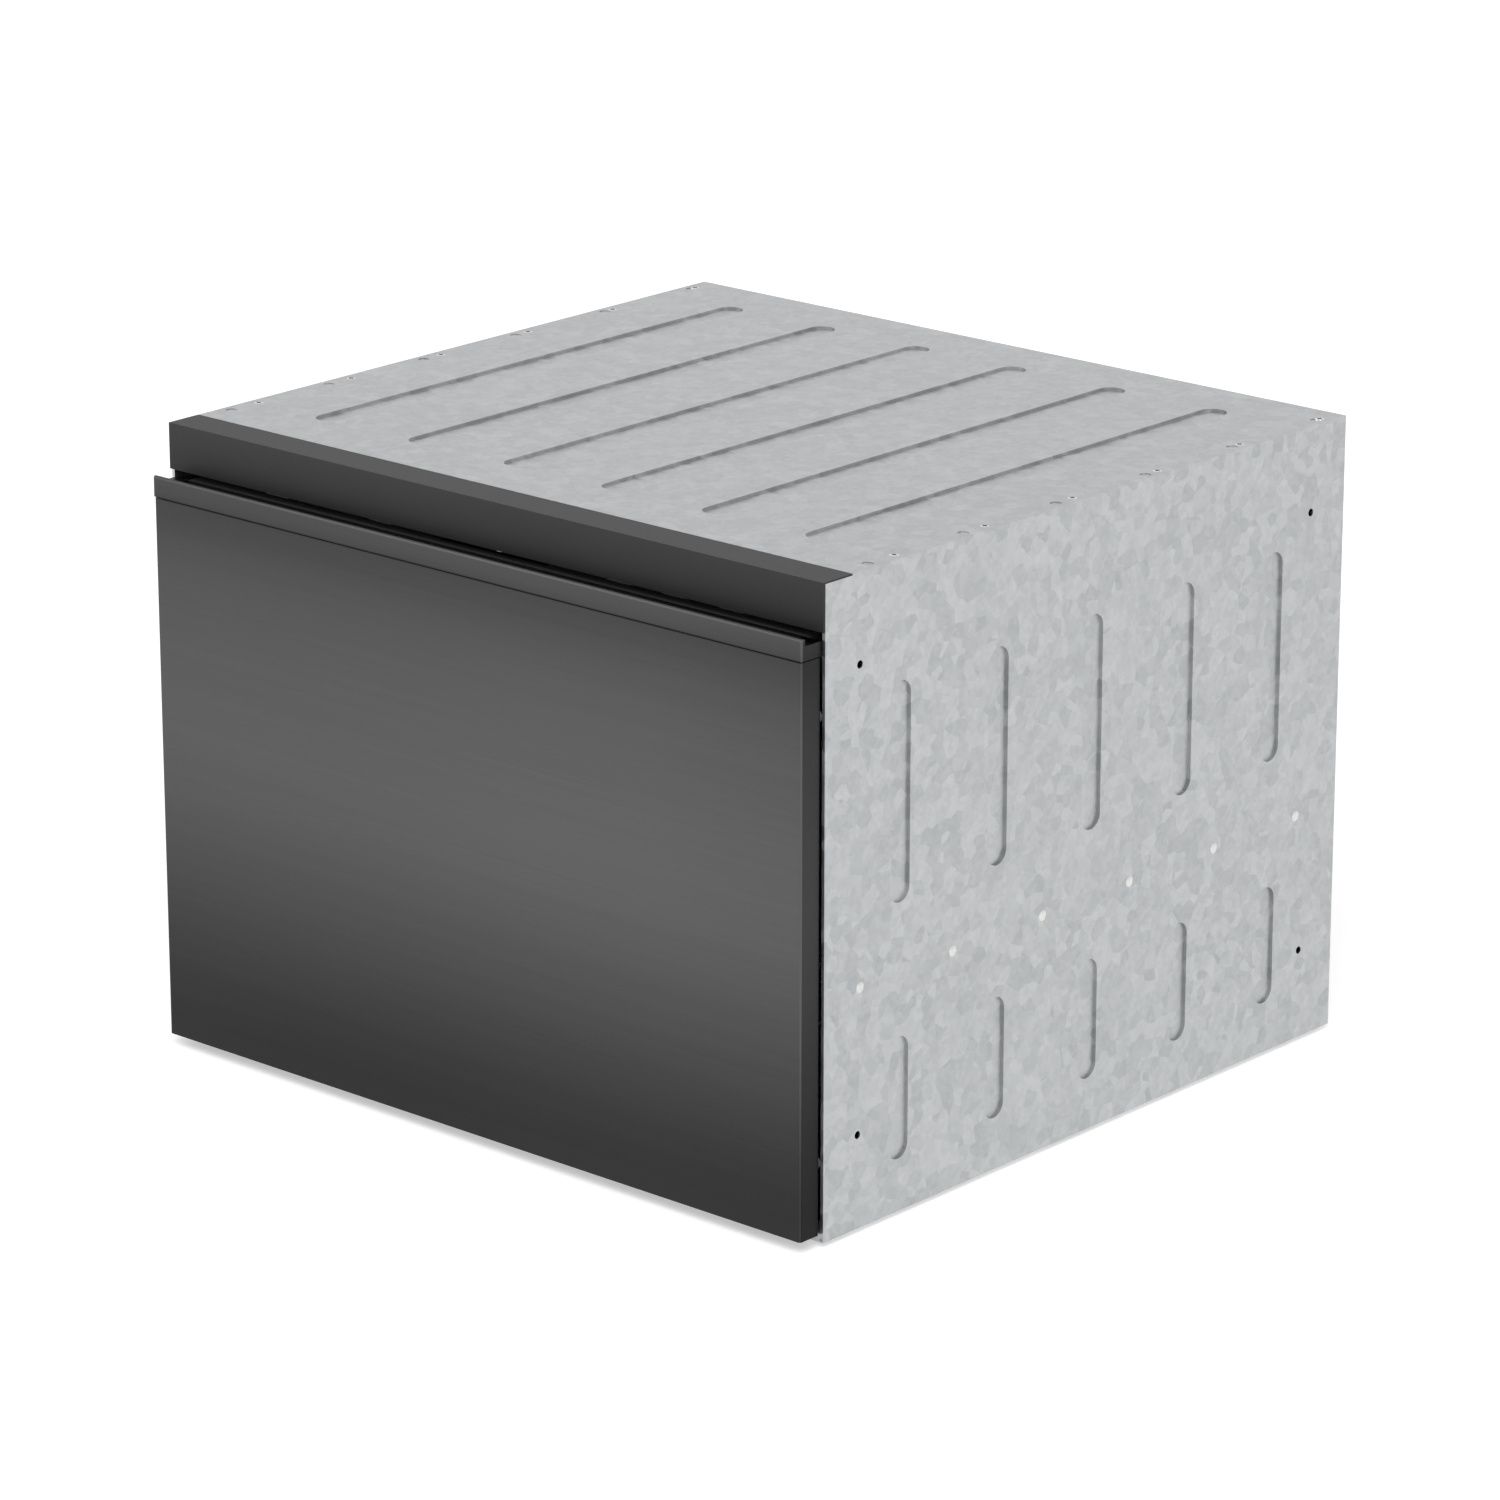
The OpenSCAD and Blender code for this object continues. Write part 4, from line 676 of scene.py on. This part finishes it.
rivet = turned("rivet", [(0, 0.8 * MM), (1.6 * MM, 0.75 * MM), (3.2 * MM, 0.4 * MM), (3.8 * MM, 0), (0, 0)])
rivet_inset = 30 * MM
rivet_places = []
for side, word in ((-1, "left"), (1, "right")):
    low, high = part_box("runner_outer_" + word)
    middle = (low.z + high.z) / 2
    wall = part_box("side_panel_" + word)[0 if side < 0 else 1].x
    for y in evenly(low.y + rivet_inset, high.y - rivet_inset, 6):
        rivet_places.append((Vector((wall, y, middle)), Vector((side, 0, 0))))
scatter("runner_rivets", rivet, rivet_places, "chassis", "screw_steel")

# %% [markdown]
# Where metal closes on metal a dishwasher has rubber buttons. Four thin ones sit on the chassis and
# take up the last millimetre behind the steel front. They are turned discs with a rounded rim.

# %% Rubber buffers
buffer = turned("buffer", [(0, 0.9 * MM), (3.6 * MM, 0.9 * MM), (4.6 * MM, 0.6 * MM), (5.0 * MM, 0), (0, 0)])
panel_low, panel_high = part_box("front_panel")
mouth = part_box("side_panel_right")[0].y
buffer_x = cad_high.x - 7.5 * MM
buffer_levels = (panel_low.z + 50 * MM, panel_high.z - 40 * MM)
buffer_places = [(Vector((side * buffer_x, mouth, z)), -BACK) for side in (-1, 1) for z in buffer_levels]
scatter("front_buffers", buffer, buffer_places, "chassis", "seal_rubber")

# %% [markdown]
# The grip is screwed down through the floor of its trough, with heads that a finger doesn't catch on.

# %% Grip screws
grip_low, grip_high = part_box("grip_strip")
trough_floor = grip_low.z + 2 * MM
grip_inset = 57 * MM
grip_places = [(Vector((x, (grip_low.y + grip_high.y) / 2, trough_floor)), UP)
               for x in evenly(grip_low.x + grip_inset, grip_high.x - grip_inset, 5)]
scatter("grip_screws", screw_head(3.0 * MM, 1.2 * MM), grip_places, "drawer", "screw_steel")

# %% [markdown]
# The water inlet carries a three-quarter inch thread. A helix is a main case for Geometry Nodes: a
# spiral curve swept by a small square that stands on its corner is a thread crest. Its normals are set
# upright, because the square would otherwise twist on its way round.

# %% Thread tree and inlet thread
def thread_tree():
    sizes = {"Radius": "NodeSocketFloat", "Pitch": "NodeSocketFloat", "Length": "NodeSocketFloat",
             "Crest": "NodeSocketFloat", "Finish": "NodeSocketMaterial"}
    work = geometry_tree("thread", sizes)
    given = work.node("NodeGroupInput")
    turns = given.out("Length") / given.out("Pitch")
    inputs = {"Resolution": 48, "Rotations": turns, "Start Radius": given.out("Radius"),
              "End Radius": given.out("Radius"), "Height": given.out("Length")}
    helix = work.node("GeometryNodeCurveSpiral", {}, inputs)
    upright = work.node("GeometryNodeSetCurveNormal", {"mode": "Z_UP"}, {"Curve": helix})
    crest_sizes = {"Resolution": 4, "Radius": given.out("Crest")}
    crest = work.node("GeometryNodeCurvePrimitiveCircle", {}, crest_sizes)
    sweep = {"Curve": upright, "Profile Curve": crest, "Fill Caps": True}
    return close_tree(work, given, work.node("GeometryNodeCurveToMesh", {}, sweep))


def along_y(mesh, place):
    """Lays a mesh that was made along Z on its side, so that it points to the back, and moves it there."""
    mesh.transform(Matrix.Translation(place) @ Matrix.Rotation(-math.pi / 2, 4, "X"))
    return mesh


THREAD = thread_tree()
valve_low, valve_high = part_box("inlet_valve")
outlet_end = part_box("drain_outlet")[1].y
inlet_x = centre("inlet_valve").x
outlet_x = centre("drain_outlet").x
service_z = centre("drain_outlet").z
thread_length = 17 * MM
thread_lead = 1 * MM
thread_sizes = {"Radius": 12.9 * MM, "Pitch": 1.81 * MM, "Length": thread_length, "Crest": 0.75 * MM,
                "Finish": finishes["white_plastic"]}
thread = grown("inlet_thread", bpy.data.meshes.new("empty"), THREAD, thread_sizes)
thread_start = Vector((inlet_x, valve_high.y - thread_length - thread_lead, service_z))
add_piece("inlet_thread", along_y(thread, thread_start), "chassis", "white_plastic")

# %% [markdown]
# Both water fittings are pipes, but the CAD frame closes their ends, because a mount wants a plain pin. A
# CAD mesh isn't changed, so a copy of it is merged, bored with a Boolean and put in its place. A cone of
# fine rings sits in the inlet's bore, where the real valve has its strainer.

# %% Bored fittings and strainer
def bored(node, slot, radius, depth):
    """A copy of a CAD node with a bore sunk into its back end."""
    shape = opened(nodes[node].data)
    bmesh.ops.remove_doubles(shape, verts=shape.verts, dist=1e-6)
    low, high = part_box(node)
    solid = placed(node + "_copy", to_mesh(shape, node + "_copy"))
    end = Vector(((low.x + high.x) / 2, high.y - depth, service_z))
    bit = turned("bit", [(0, 0), (radius, 0), (radius, depth + 1 * MM), (0, depth + 1 * MM)], 48)
    drill = placed("drill", along_y(bit, end))
    cut = solid.modifiers.new("bore", "BOOLEAN")
    cut.operation = "DIFFERENCE"
    cut.solver = "EXACT"
    cut.object = drill
    bpy.context.view_layer.update()
    result = solid.evaluated_get(bpy.context.evaluated_depsgraph_get())
    mesh = bpy.data.meshes.new_from_object(result)
    mesh.materials.clear()
    if "custom_normal" in mesh.attributes:
        mesh.attributes.remove(mesh.attributes["custom_normal"])
    for thing in (solid, drill):
        bpy.data.objects.remove(thing)
    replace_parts(add_piece(node + "_bored", mesh, "chassis", slot), node)


inlet_depth = 15 * MM
outlet_depth = 30 * MM
bored("inlet_valve", "white_plastic", 9.6 * MM, inlet_depth)
bored("drain_outlet", "grey_plastic", 7.8 * MM, outlet_depth)
ring_wide = 0.5 * MM
rings = [(9.5 * MM, 0), (9.5 * MM, 0.8 * MM)]
for i in range(8):
    r = (9.2 - 1.1 * i) * MM
    rings += [(r, (1.2 + i) * MM), (r - ring_wide, (1.2 + i) * MM), (r - ring_wide, (1.6 + i) * MM)]
strainer = turned("inlet_strainer", rings + [(0, 9 * MM), (0, 0), rings[0]], 24)
strainer_place = Vector((inlet_x, valve_high.y - inlet_depth, service_z))
add_piece("inlet_strainer", along_y(strainer, strainer_place), "chassis", "dark_plastic")

# %% [markdown]
# A push-on hose is held by barbs: short cones whose steep side faces inwards. Four of them sit on the
# drain outlet. The gland beside them is tightened by hand, so its cap has twelve ribs.

# %% Drain barbs and gland cap
barb = turned("barb", [(9.9 * MM, 0), (11.3 * MM, 0), (11.2 * MM, 0.5 * MM), (9.9 * MM, 3.6 * MM)], 32)
barb_places = [(Vector((outlet_x, y, service_z)), BACK)
               for y in evenly(outlet_end - 19 * MM, outlet_end - 5 * MM, 4)]
scatter("drain_barbs", barb, barb_places, "chassis", "grey_plastic")

gland_centre = Vector((centre("power_inlet").x, 0, service_z))
gland_cap = turned("gland_cap", [(4.6 * MM, 0), (11 * MM, 0), (11 * MM, 6 * MM), (9.6 * MM, 9 * MM),
                                 (6.5 * MM, 10.5 * MM), (4.6 * MM, 10.5 * MM), (4.6 * MM, 0)], 36)
cap_start = gland_centre + BACK * (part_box("power_inlet")[1].y - 10.2 * MM)
add_piece("gland_cap", along_y(gland_cap, cap_start), "chassis", "dark_plastic")
rib = to_mesh(boxed((-0.8 * MM, -0.7 * MM, 0), (0.8 * MM, 0.7 * MM, 1.0 * MM), 0.3 * MM, 1), "gland_rib")
rib.transform(Matrix.Diagonal((1, 4.0, 1, 1)))
rib_places = []
for i in range(12):
    out = Vector((math.cos(i * math.pi / 6), 0, math.sin(i * math.pi / 6)))
    rib_places.append((cap_start + 10.7 * MM * out + BACK * (3 * MM), out))
scatter("gland_ribs", rib, rib_places, "chassis", "dark_plastic")

# %% [markdown]
# Under the tub two moulded hoses run along the tray to the foot of the folding link: the fill hose from
# the valve, and the ribbed drain hose. They keep to the left of the arms' sweep and below the bracket
# that travels with the drawer.

# %% Hoses on the tray
tray_top = 6.4 * MM
fill_r, drain_r = 6.2 * MM, 7.4 * MM
valve_port = Vector((inlet_x, valve_low.y + 6 * MM, service_z - 6 * MM))
link_low, link_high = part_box("link_arm_lower")
arm_half = 16 * MM
foot_x, foot_y = link_low.x, link_low.y + arm_half
fill_z, drain_z = tray_top + fill_r + 0.5 * MM, tray_top + drain_r + 0.5 * MM
fill_route = [valve_port, valve_port + Vector((0, -22 * MM, -1 * MM)), (inlet_x - 2 * MM, 128 * MM, 26 * MM),
              (inlet_x - 1 * MM, 96 * MM, fill_z + 2.5 * MM), (inlet_x, 66 * MM, fill_z + 0.2 * MM),
              (inlet_x + 1 * MM, 40 * MM, fill_z), (inlet_x + 3 * MM, 5 * MM, fill_z),
              (inlet_x + 10 * MM, foot_y - 8 * MM, fill_z), (foot_x - 24 * MM, foot_y - 34 * MM, fill_z),
              (foot_x - 4 * MM, foot_y - 38 * MM, fill_z)]
hose("fill_hose", fill_route, fill_r, "chassis", "dark_plastic")
drain_route = [(outlet_x + 2 * MM, 240 * MM, service_z),
               (outlet_x - 14 * MM, 238 * MM, service_z - 2 * MM),
               (outlet_x - 28 * MM, 234 * MM, 42 * MM), (outlet_x - 32 * MM, 229 * MM, 28 * MM),
               (outlet_x - 34 * MM, 214 * MM, drain_z + 3.5 * MM),
               (outlet_x - 35 * MM, 194 * MM, drain_z + 0.3 * MM),
               (outlet_x - 36 * MM, 170 * MM, drain_z), (outlet_x - 36 * MM, 120 * MM, drain_z),
               (outlet_x - 36 * MM, 50 * MM, drain_z), (outlet_x - 34 * MM, -10 * MM, drain_z),
               (foot_x - 10 * MM, foot_y - 8 * MM, drain_z), (foot_x - 8 * MM, foot_y - 30 * MM, drain_z)]
hose("drain_run", drain_route, drain_r, "chassis", "hose_grey", 0.7 * MM, 3.6 * MM)

# %% [markdown]
# At the foot of the link both hoses run into a moulded saddle, screwed to the tray beside the pivot. It
# is a rounded block with a foot on each side and stiffening ribs across its top.

# %% Hose saddle
saddle_x, saddle_y = foot_x + 2 * MM, foot_y - 37 * MM


def saddle_box(x0, y0, z0, x1, y1, z1, soft):
    base = Vector((saddle_x, saddle_y, tray_top))
    return boxed(base + Vector((x0, y0, z0)) * MM, base + Vector((x1, y1, z1)) * MM, soft * MM)


saddle = [saddle_box(-14, -13, 0, 14, 13, 19, 2.0), saddle_box(-11, -21, 0, 11, 21, 2.4, 0.8)]
saddle += [saddle_box(x - 0.9, -11.5, 18, x + 0.9, 11.5, 20.6, 0.5) for x in (-9, -3, 3, 9)]
add_piece("hose_saddle", joined("hose_saddle", saddle), "chassis", "dark_plastic")
foot_places = [(Vector((saddle_x, saddle_y + side * 17.3 * MM, tray_top + 2.4 * MM)), UP)
               for side in (-1, 1)]
scatter("saddle_screws", screw_head(2.6 * MM, 1.2 * MM), foot_places, "chassis", "screw_steel")

# %% [markdown]
# The lower link arm is an open channel, and both hoses lie in it. They are built along the arm's own
# direction, so they turn with it. The upper arm's channel opens downwards and is left empty. The drain
# hose on the tub is soft, so its plain CAD solid gives way to a ribbed one on the same route.

# %% Hoses in the link and under the tub
def link_hose(name, shift, radius, slot, rib=0.0):
    """A hose on the arm's floor, shifted sideways from the line between its pivots."""
    start = pivot + across * shift + UP * (link_low.z + channel_floor + radius + rib)
    route = [start + along * reach for reach in evenly(30 * MM, 270 * MM, 4)]
    hose(name, route, radius, "link_arm_lower", slot, rib)


span = link_high - link_low
link_angle = math.atan2(span.y - 2 * arm_half, span.x - 2 * arm_half)
pivot = Vector((foot_x + arm_half, foot_y, 0))
along = Vector((math.cos(link_angle), math.sin(link_angle), 0))
across = Vector((-along.y, along.x, 0))
channel_floor = 3.4 * MM
link_hose("link_fill_hose", 6.6 * MM, 4.6 * MM, "dark_plastic")
link_hose("link_drain_hose", -5.4 * MM, 5.6 * MM, "hose_grey", 0.5 * MM)

hose_low, hose_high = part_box("drain_hose")
run_r = (hose_high.z - hose_low.z) / 2
run_z = hose_low.z + run_r
pump_x, back_y, tip_x = hose_high.x - run_r, hose_high.y - 12 * MM, hose_low.x + run_r
bend = 22 * MM
tub_route = [(pump_x, y, run_z) for y in evenly(hose_low.y, back_y - bend, 4)]
corner_cut = 0.29 * bend
tub_route.append((pump_x - corner_cut, back_y - corner_cut, run_z))
tub_route += [(x, back_y, run_z) for x in evenly(pump_x - bend, tip_x + 8 * MM, 5)]
tub_route.append((tip_x + 0.4 * MM, back_y + 4 * MM, run_z))
tub_route.append((tip_x, hose_high.y, run_z))
tub_hose = hose("tub_drain_hose", tub_route, run_r - 0.7 * MM, "drawer", "hose_grey", 0.6 * MM, 3.6 * MM)
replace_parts(tub_hose, "drain_hose")

# %% [markdown]
# A hose slips off its spigot unless something holds it. A band clip is a flat ring with two ears, sprung
# from one strip, and it holds the tub's hose on the pump.

# %% Hose clip
def band_clip(radius):
    outside = radius + 0.9 * MM
    half = 3 * MM
    edge = [(radius, -half), (outside, -half), (outside, half), (radius, half), (radius, -half)]
    band = turned("band", edge, 32)
    shapes = [opened(band)]
    bpy.data.meshes.remove(band)
    for x in (-1.6 * MM, 1.6 * MM):
        low = (x - 0.5 * MM, radius - 0.2 * MM, -2.4 * MM)
        high = (x + 0.5 * MM, radius + 4.6 * MM, 2.4 * MM)
        shapes.append(boxed(low, high, 0.2 * MM, 1))
    return joined("band_clip", shapes)


clip_places = [(Vector((pump_x, hose_low.y + 7 * MM, run_z)), BACK)]
scatter("pump_clip", band_clip(run_r), clip_places, "drawer", "screw_steel")

# %% [markdown]
# A cap without a mark says nothing, so each button has a printed sign: thin raised ink in the
# shapes that any appliance uses. A sign is a list of flat plates and arcs that meet but don't overlap,
# because two tops in one plane would flicker.

# %% Signs on the buttons
ink = 0.12 * MM
sunk = 0.02 * MM


def plate(*corners):
    """A flat polygon of ink, from its corners in millimetres."""
    shape = bmesh.new()
    foot = [shape.verts.new(Vector((x, y, 0)) * MM) for x, y in corners]
    top = bmesh.ops.extrude_face_region(shape, geom=[shape.faces.new(foot)])["geom"]
    bmesh.ops.translate(shape, verts=[v for v in top if isinstance(v, bmesh.types.BMVert)], vec=(0, 0, ink))
    return shape


def stroke(x0, y0, x1, y1, wide=0.9):
    start, end = Vector((x0, y0)), Vector((x1, y1))
    side = (end - start).normalized().orthogonal() * wide / 2
    return plate(start - side, end - side, end + side, start + side)


def arc(x, y, radius, start, end, wide=0.9):
    shape = bmesh.new()
    steps = 20
    angles = [math.radians(start + (end - start) * i / steps) for i in range(steps + 1)]
    rims = []
    for level in (0, ink):
        for r in (radius - wide / 2, radius + wide / 2):
            rims.append([shape.verts.new(((x + r * math.cos(a)) * MM, (y + r * math.sin(a)) * MM, level))
                         for a in angles])
    for low, high in ((rims[0], rims[1]), (rims[1], rims[3]), (rims[3], rims[2]), (rims[2], rims[0])):
        for i in range(steps):
            shape.faces.new((low[i], low[i + 1], high[i + 1], high[i]))
    if abs(end - start) < 360:
        for i in (0, steps):
            shape.faces.new([rims[k][i] for k in (0, 1, 3, 2)])
    else:
        bmesh.ops.remove_doubles(shape, verts=shape.verts, dist=1e-7)
    return shape


signs = {
    "power": lambda: [arc(0, 0, 2.6, 125, 415), stroke(0, 0.6, 0, 3.4)],
    "program": lambda: [stroke(-3, y, 3, y) for y in (-2, 0, 2)],
    "option": lambda: [stroke(-2.8, 0, 2.8, 0), stroke(0, 0.45, 0, 2.8), stroke(0, -2.8, 0, -0.45)],
    "lock": lambda: [stroke(-2.4, -1.2, 2.4, -1.2, 3.2), arc(0, 0.4, 1.6, 0, 180)],
    "start": lambda: [plate((-2.0, -2.7), (2.7, 0), (-2.0, 2.7))],
}
for word, shapes in signs.items():
    low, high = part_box("button_" + word)
    sign = joined("sign_" + word, shapes())
    sign.transform(Matrix.Translation(((low.x + high.x) / 2, (low.y + high.y) / 2, high.z - sunk)))
    add_piece("sign_" + word, sign, "button_" + word, "dark_plastic")

# %% [markdown]
# The window shows a two-digit remaining time and five programme lamps. The digits are seven-segment bars
# and the lamps are dots. The window's solid is opaque here, so they stand a hair above its face. An
# Emission node would do, but a Principled surface with some emission keeps its own gloss.

# %% Display
def glowing():
    lit = Finish("lit_segment")
    shade = lit.noise(800.0, 2.0)
    tone = lit.blend((0.6, 0.688, 0.76), (0.75, 0.86, 0.95), shade)
    return lit.surface(Base_Color=tone, Emission_Color=tone, Emission_Strength=0.8,
                       Roughness=0.3 + 0.1 * shade)


finishes["lit_segment"] = glowing()
segments = {"a": (-1, 2, 1, 2), "g": (-1, 0, 1, 0), "d": (-1, -2, 1, -2), "f": (-1.25, 1.8, -1.25, 0.2),
            "e": (-1.25, -0.2, -1.25, -1.8), "b": (1.25, 1.8, 1.25, 0.2), "c": (1.25, -0.2, 1.25, -1.8)}
digits = {"4": "fgbc", "5": "afgcd"}
window_y = centre("display_window").y / MM
window_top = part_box("display_window")[1].z
bars = []
wide, tall = 1.9, 2.1
lamp_x, lamp_pitch, lamp_r = 14, 6, 0.5
for digit, x in (("4", -6.5), ("5", 1.5)):
    for key in digits[digit]:
        x0, y0, x1, y1 = segments[key]
        bars.append(stroke(x + x0 * wide, window_y + y0 * tall, x + x1 * wide, window_y + y1 * tall, 0.8))
for i in range(5):
    bars.append(arc(lamp_x + lamp_pitch * i, window_y, lamp_r, 0, 360, 2 * lamp_r - 0.02))
shown = joined("display_segments", bars)
shown.transform(Matrix.Translation((0, 0, window_top - ink / 2)))
shown.materials.append(finishes["lit_segment"])
add_piece("display_segments", shown, "drawer", "white_plastic")

# %% [markdown]
# The spray arm's jets are slots with a raised moulded lip. The slots of each blade lie on a line that
# slants a little, so the lips take their places from the same formula as the slots.

# %% Jet lips
def jet_lip(length, wide, grow, height):
    """A rounded rectangular ring round a slot along X."""
    shape = bmesh.new()
    rims = []
    for level, out in ((0, grow), (height, grow * 0.7), (height, 0.0), (-0.5 * MM, 0.0)):
        r = wide / 2 + out
        half = (length - wide) / 2
        points = []
        for end in (1, -1):
            for i in range(9):
                a = math.radians(-90 + 22.5 * i) + (0 if end > 0 else math.pi)
                points.append((end * half + r * math.cos(a), r * math.sin(a), level))
        rims.append([shape.verts.new(p) for p in points])
    for low, high in zip(rims, rims[1:]):
        for i in range(18):
            j = (i + 1) % 18
            shape.faces.new((low[i], low[j], high[j], high[i]))
    return shape


def about_z(degrees):
    return Matrix.Rotation(math.radians(degrees), 4, "Z")


cap_low, cap_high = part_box("spray_arm_cap")
cap_middle = (cap_low + cap_high) / 2
blade_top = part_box("spray_arm")[1].z - 2 * MM
hub = Matrix.Translation((cap_middle.x, cap_middle.y, blade_top))
slot_turn = about_z(70)
lips = []
for blade in (20, 200):
    for i in range(6):
        spot = Matrix.Translation(((52 + 27 * i) * MM, (5 + 0.6 * i) * MM, 0))
        lip = jet_lip(9 * MM, 2.4 * MM, 1.6 * MM, 1.0 * MM)
        lip.transform(hub @ about_z(blade) @ spot @ slot_turn)
        lips.append(lip)
add_piece("jet_lips", joined("jet_lips", lips), "spray_arm", "grey_plastic")

# %% [markdown]
# The tub hangs by its ledges on the runner brackets. Screws hold it there, in every other bay between
# the ribs. The cap of the spray arm has ribs for fingers that are wet.

# %% Ledge screws and the cap's ribs
bracket_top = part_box("runner_inner_right")[1].z
ledge_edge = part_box("tub")[1].x
ledge_x = ledge_edge - 3.4 * MM
ledge_top = bracket_top + 4 * MM
ledge_rows = evenly(-145.4 * MM, 168.1 * MM, 4)
ledge_places = [(Vector((side * ledge_x, y, ledge_top)), UP) for side in (-1, 1) for y in ledge_rows]
scatter("ledge_screws", screw_head(2.8 * MM, 1.4 * MM), ledge_places, "drawer", "screw_steel")

cap_r = (cap_high.x - cap_low.x) / 2
cap_rib = to_mesh(boxed((-0.8 * MM, -0.8 * MM, 0), (0.8 * MM, 0.8 * MM, 0.9 * MM), 0.3 * MM, 1), "cap_rib")
cap_rib.transform(Matrix.Diagonal((1.0, 2.4, 1.0, 1.0)))
upright = Matrix.Rotation(math.pi / 2, 4, "Y") @ about_z(90)
rib_count = 14
ribs = []
for i in range(rib_count):
    spot = about_z(360 * i / rib_count) @ Matrix.Translation((cap_r - 0.2 * MM, 0, 0))
    shape = opened(cap_rib)
    shape.transform(Matrix.Translation(cap_middle) @ spot @ upright)
    ribs.append(shape)
add_piece("cap_ribs", joined("cap_ribs", ribs), "drawer", "dark_plastic")

# %% [markdown]
# The stage is one pale floor that runs past the horizon. To a camera ray, a mirror ray or a ray through
# glass the floor adds a little light of its own, so that it closes to white, while its diffuse share
# still takes the shadow. More lamp power would have bleached the machine as well.

# %% Floor and surroundings
def seen(work):
    """1 for the rays that see the stage's own light, and 0 for the rest."""
    path = work.node("ShaderNodeLightPath")
    return path.out("Is Glossy Ray") | path.out("Is Transmission Ray") | path.out("Is Camera Ray")


floor_glow = 0.42


def pale_floor():
    floor = Finish("pale_floor")
    grey = floor.blend((0.78, 0.78, 0.78), (0.80, 0.80, 0.80), floor.noise(3.0))
    body = floor.node("ShaderNodeBsdfDiffuse", {}, {"Color": grey})
    inputs = {"Color": (1, 1, 1, 1), "Strength": floor_glow * seen(floor)}
    glow = floor.node("ShaderNodeEmission", {}, inputs)
    both = floor.node("ShaderNodeAddShader", {}, {0: body, 1: glow})
    floor.node("ShaderNodeOutputMaterial", {}, {"Surface": both})
    return floor.material


def white_room():
    world = bpy.data.worlds.new("white_room")
    bpy.context.scene.world = world
    world.use_nodes = True
    world.node_tree.nodes.clear()
    room = Tree(world.node_tree)
    inputs = {"Color": (1, 1, 1, 1), "Strength": 0.5 + 0.5 * seen(room)}
    shade = room.node("ShaderNodeBackground", {}, inputs)
    room.node("ShaderNodeOutputWorld", {}, {"Surface": shade})


floor_half = 40.0
floor_mesh = bpy.data.meshes.new("floor")
corners = [(-floor_half, -floor_half, 0), (floor_half, -floor_half, 0),
           (floor_half, floor_half, 0), (-floor_half, floor_half, 0)]
floor_mesh.from_pydata(corners, [], [(0, 1, 2, 3)])
floor_mesh.materials.append(pale_floor())
placed("floor", floor_mesh)
white_room()
print("stage set")

# %% [markdown]
# Three lights do the work. A wide soft sun from the front right gives the floor its shadow and lights
# the plastics. It is hidden from mirror rays, since its reflection bleached the zinc cover from behind.
# A mild tall softbox lights the right side, and a low panel on the left fills the trough.

# %% Lights
def aim(thing, place, target):
    thing.location = place
    thing.rotation_euler = (Vector(target) - Vector(place)).to_track_quat("-Z", "Y").to_euler()


def lamp(name, kind, power, place, target=(0, 0, 0.25), **settings):
    data = bpy.data.lights.new(name, kind)
    data.energy = power
    for key, value in settings.items():
        setattr(data, key, value)
    made = placed(name, data)
    aim(made, place, target)
    return made


sun = lamp("soft_sun", "SUN", 1.8, (2.5, -3.5, 5.0), angle=math.radians(35))
sun.visible_glossy = False
lamp("edge_softbox", "AREA", 14.0, (3.6, -1.2, 1.6), shape="RECTANGLE", size=0.6, size_y=2.4)
lamp("fill_panel", "AREA", 18.0, (-2.6, -3.2, 1.4), shape="RECTANGLE", size=2.0, size_y=1.2)

# %% [markdown]
# The photograph was taken from the right and a little above: solving its vanishing lines gives 41.5
# degrees round and 17.8 degrees up from 4.4 m away. The lens is longer here, so that the machine fills the
# frame instead of a kitchen. The view is the same, because the standpoint is.

# %% Camera
turn = math.radians(41.5)
rise = math.radians(17.8)
reach = 4.4
look_at = Vector((0.0, 0.0, 0.215))
direction = Vector((math.sin(turn) * math.cos(rise), -math.cos(turn) * math.cos(rise), math.sin(rise)))
camera_data = bpy.data.cameras.new("camera")
camera_data.sensor_width = 36.0
camera_data.lens = 150.0
camera = placed("camera", camera_data)
aim(camera, look_at + reach * direction, look_at)
bpy.context.scene.camera = camera
bpy.context.scene.view_settings.view_transform = "Standard"
print("camera at", [round(v, 2) for v in camera.location])
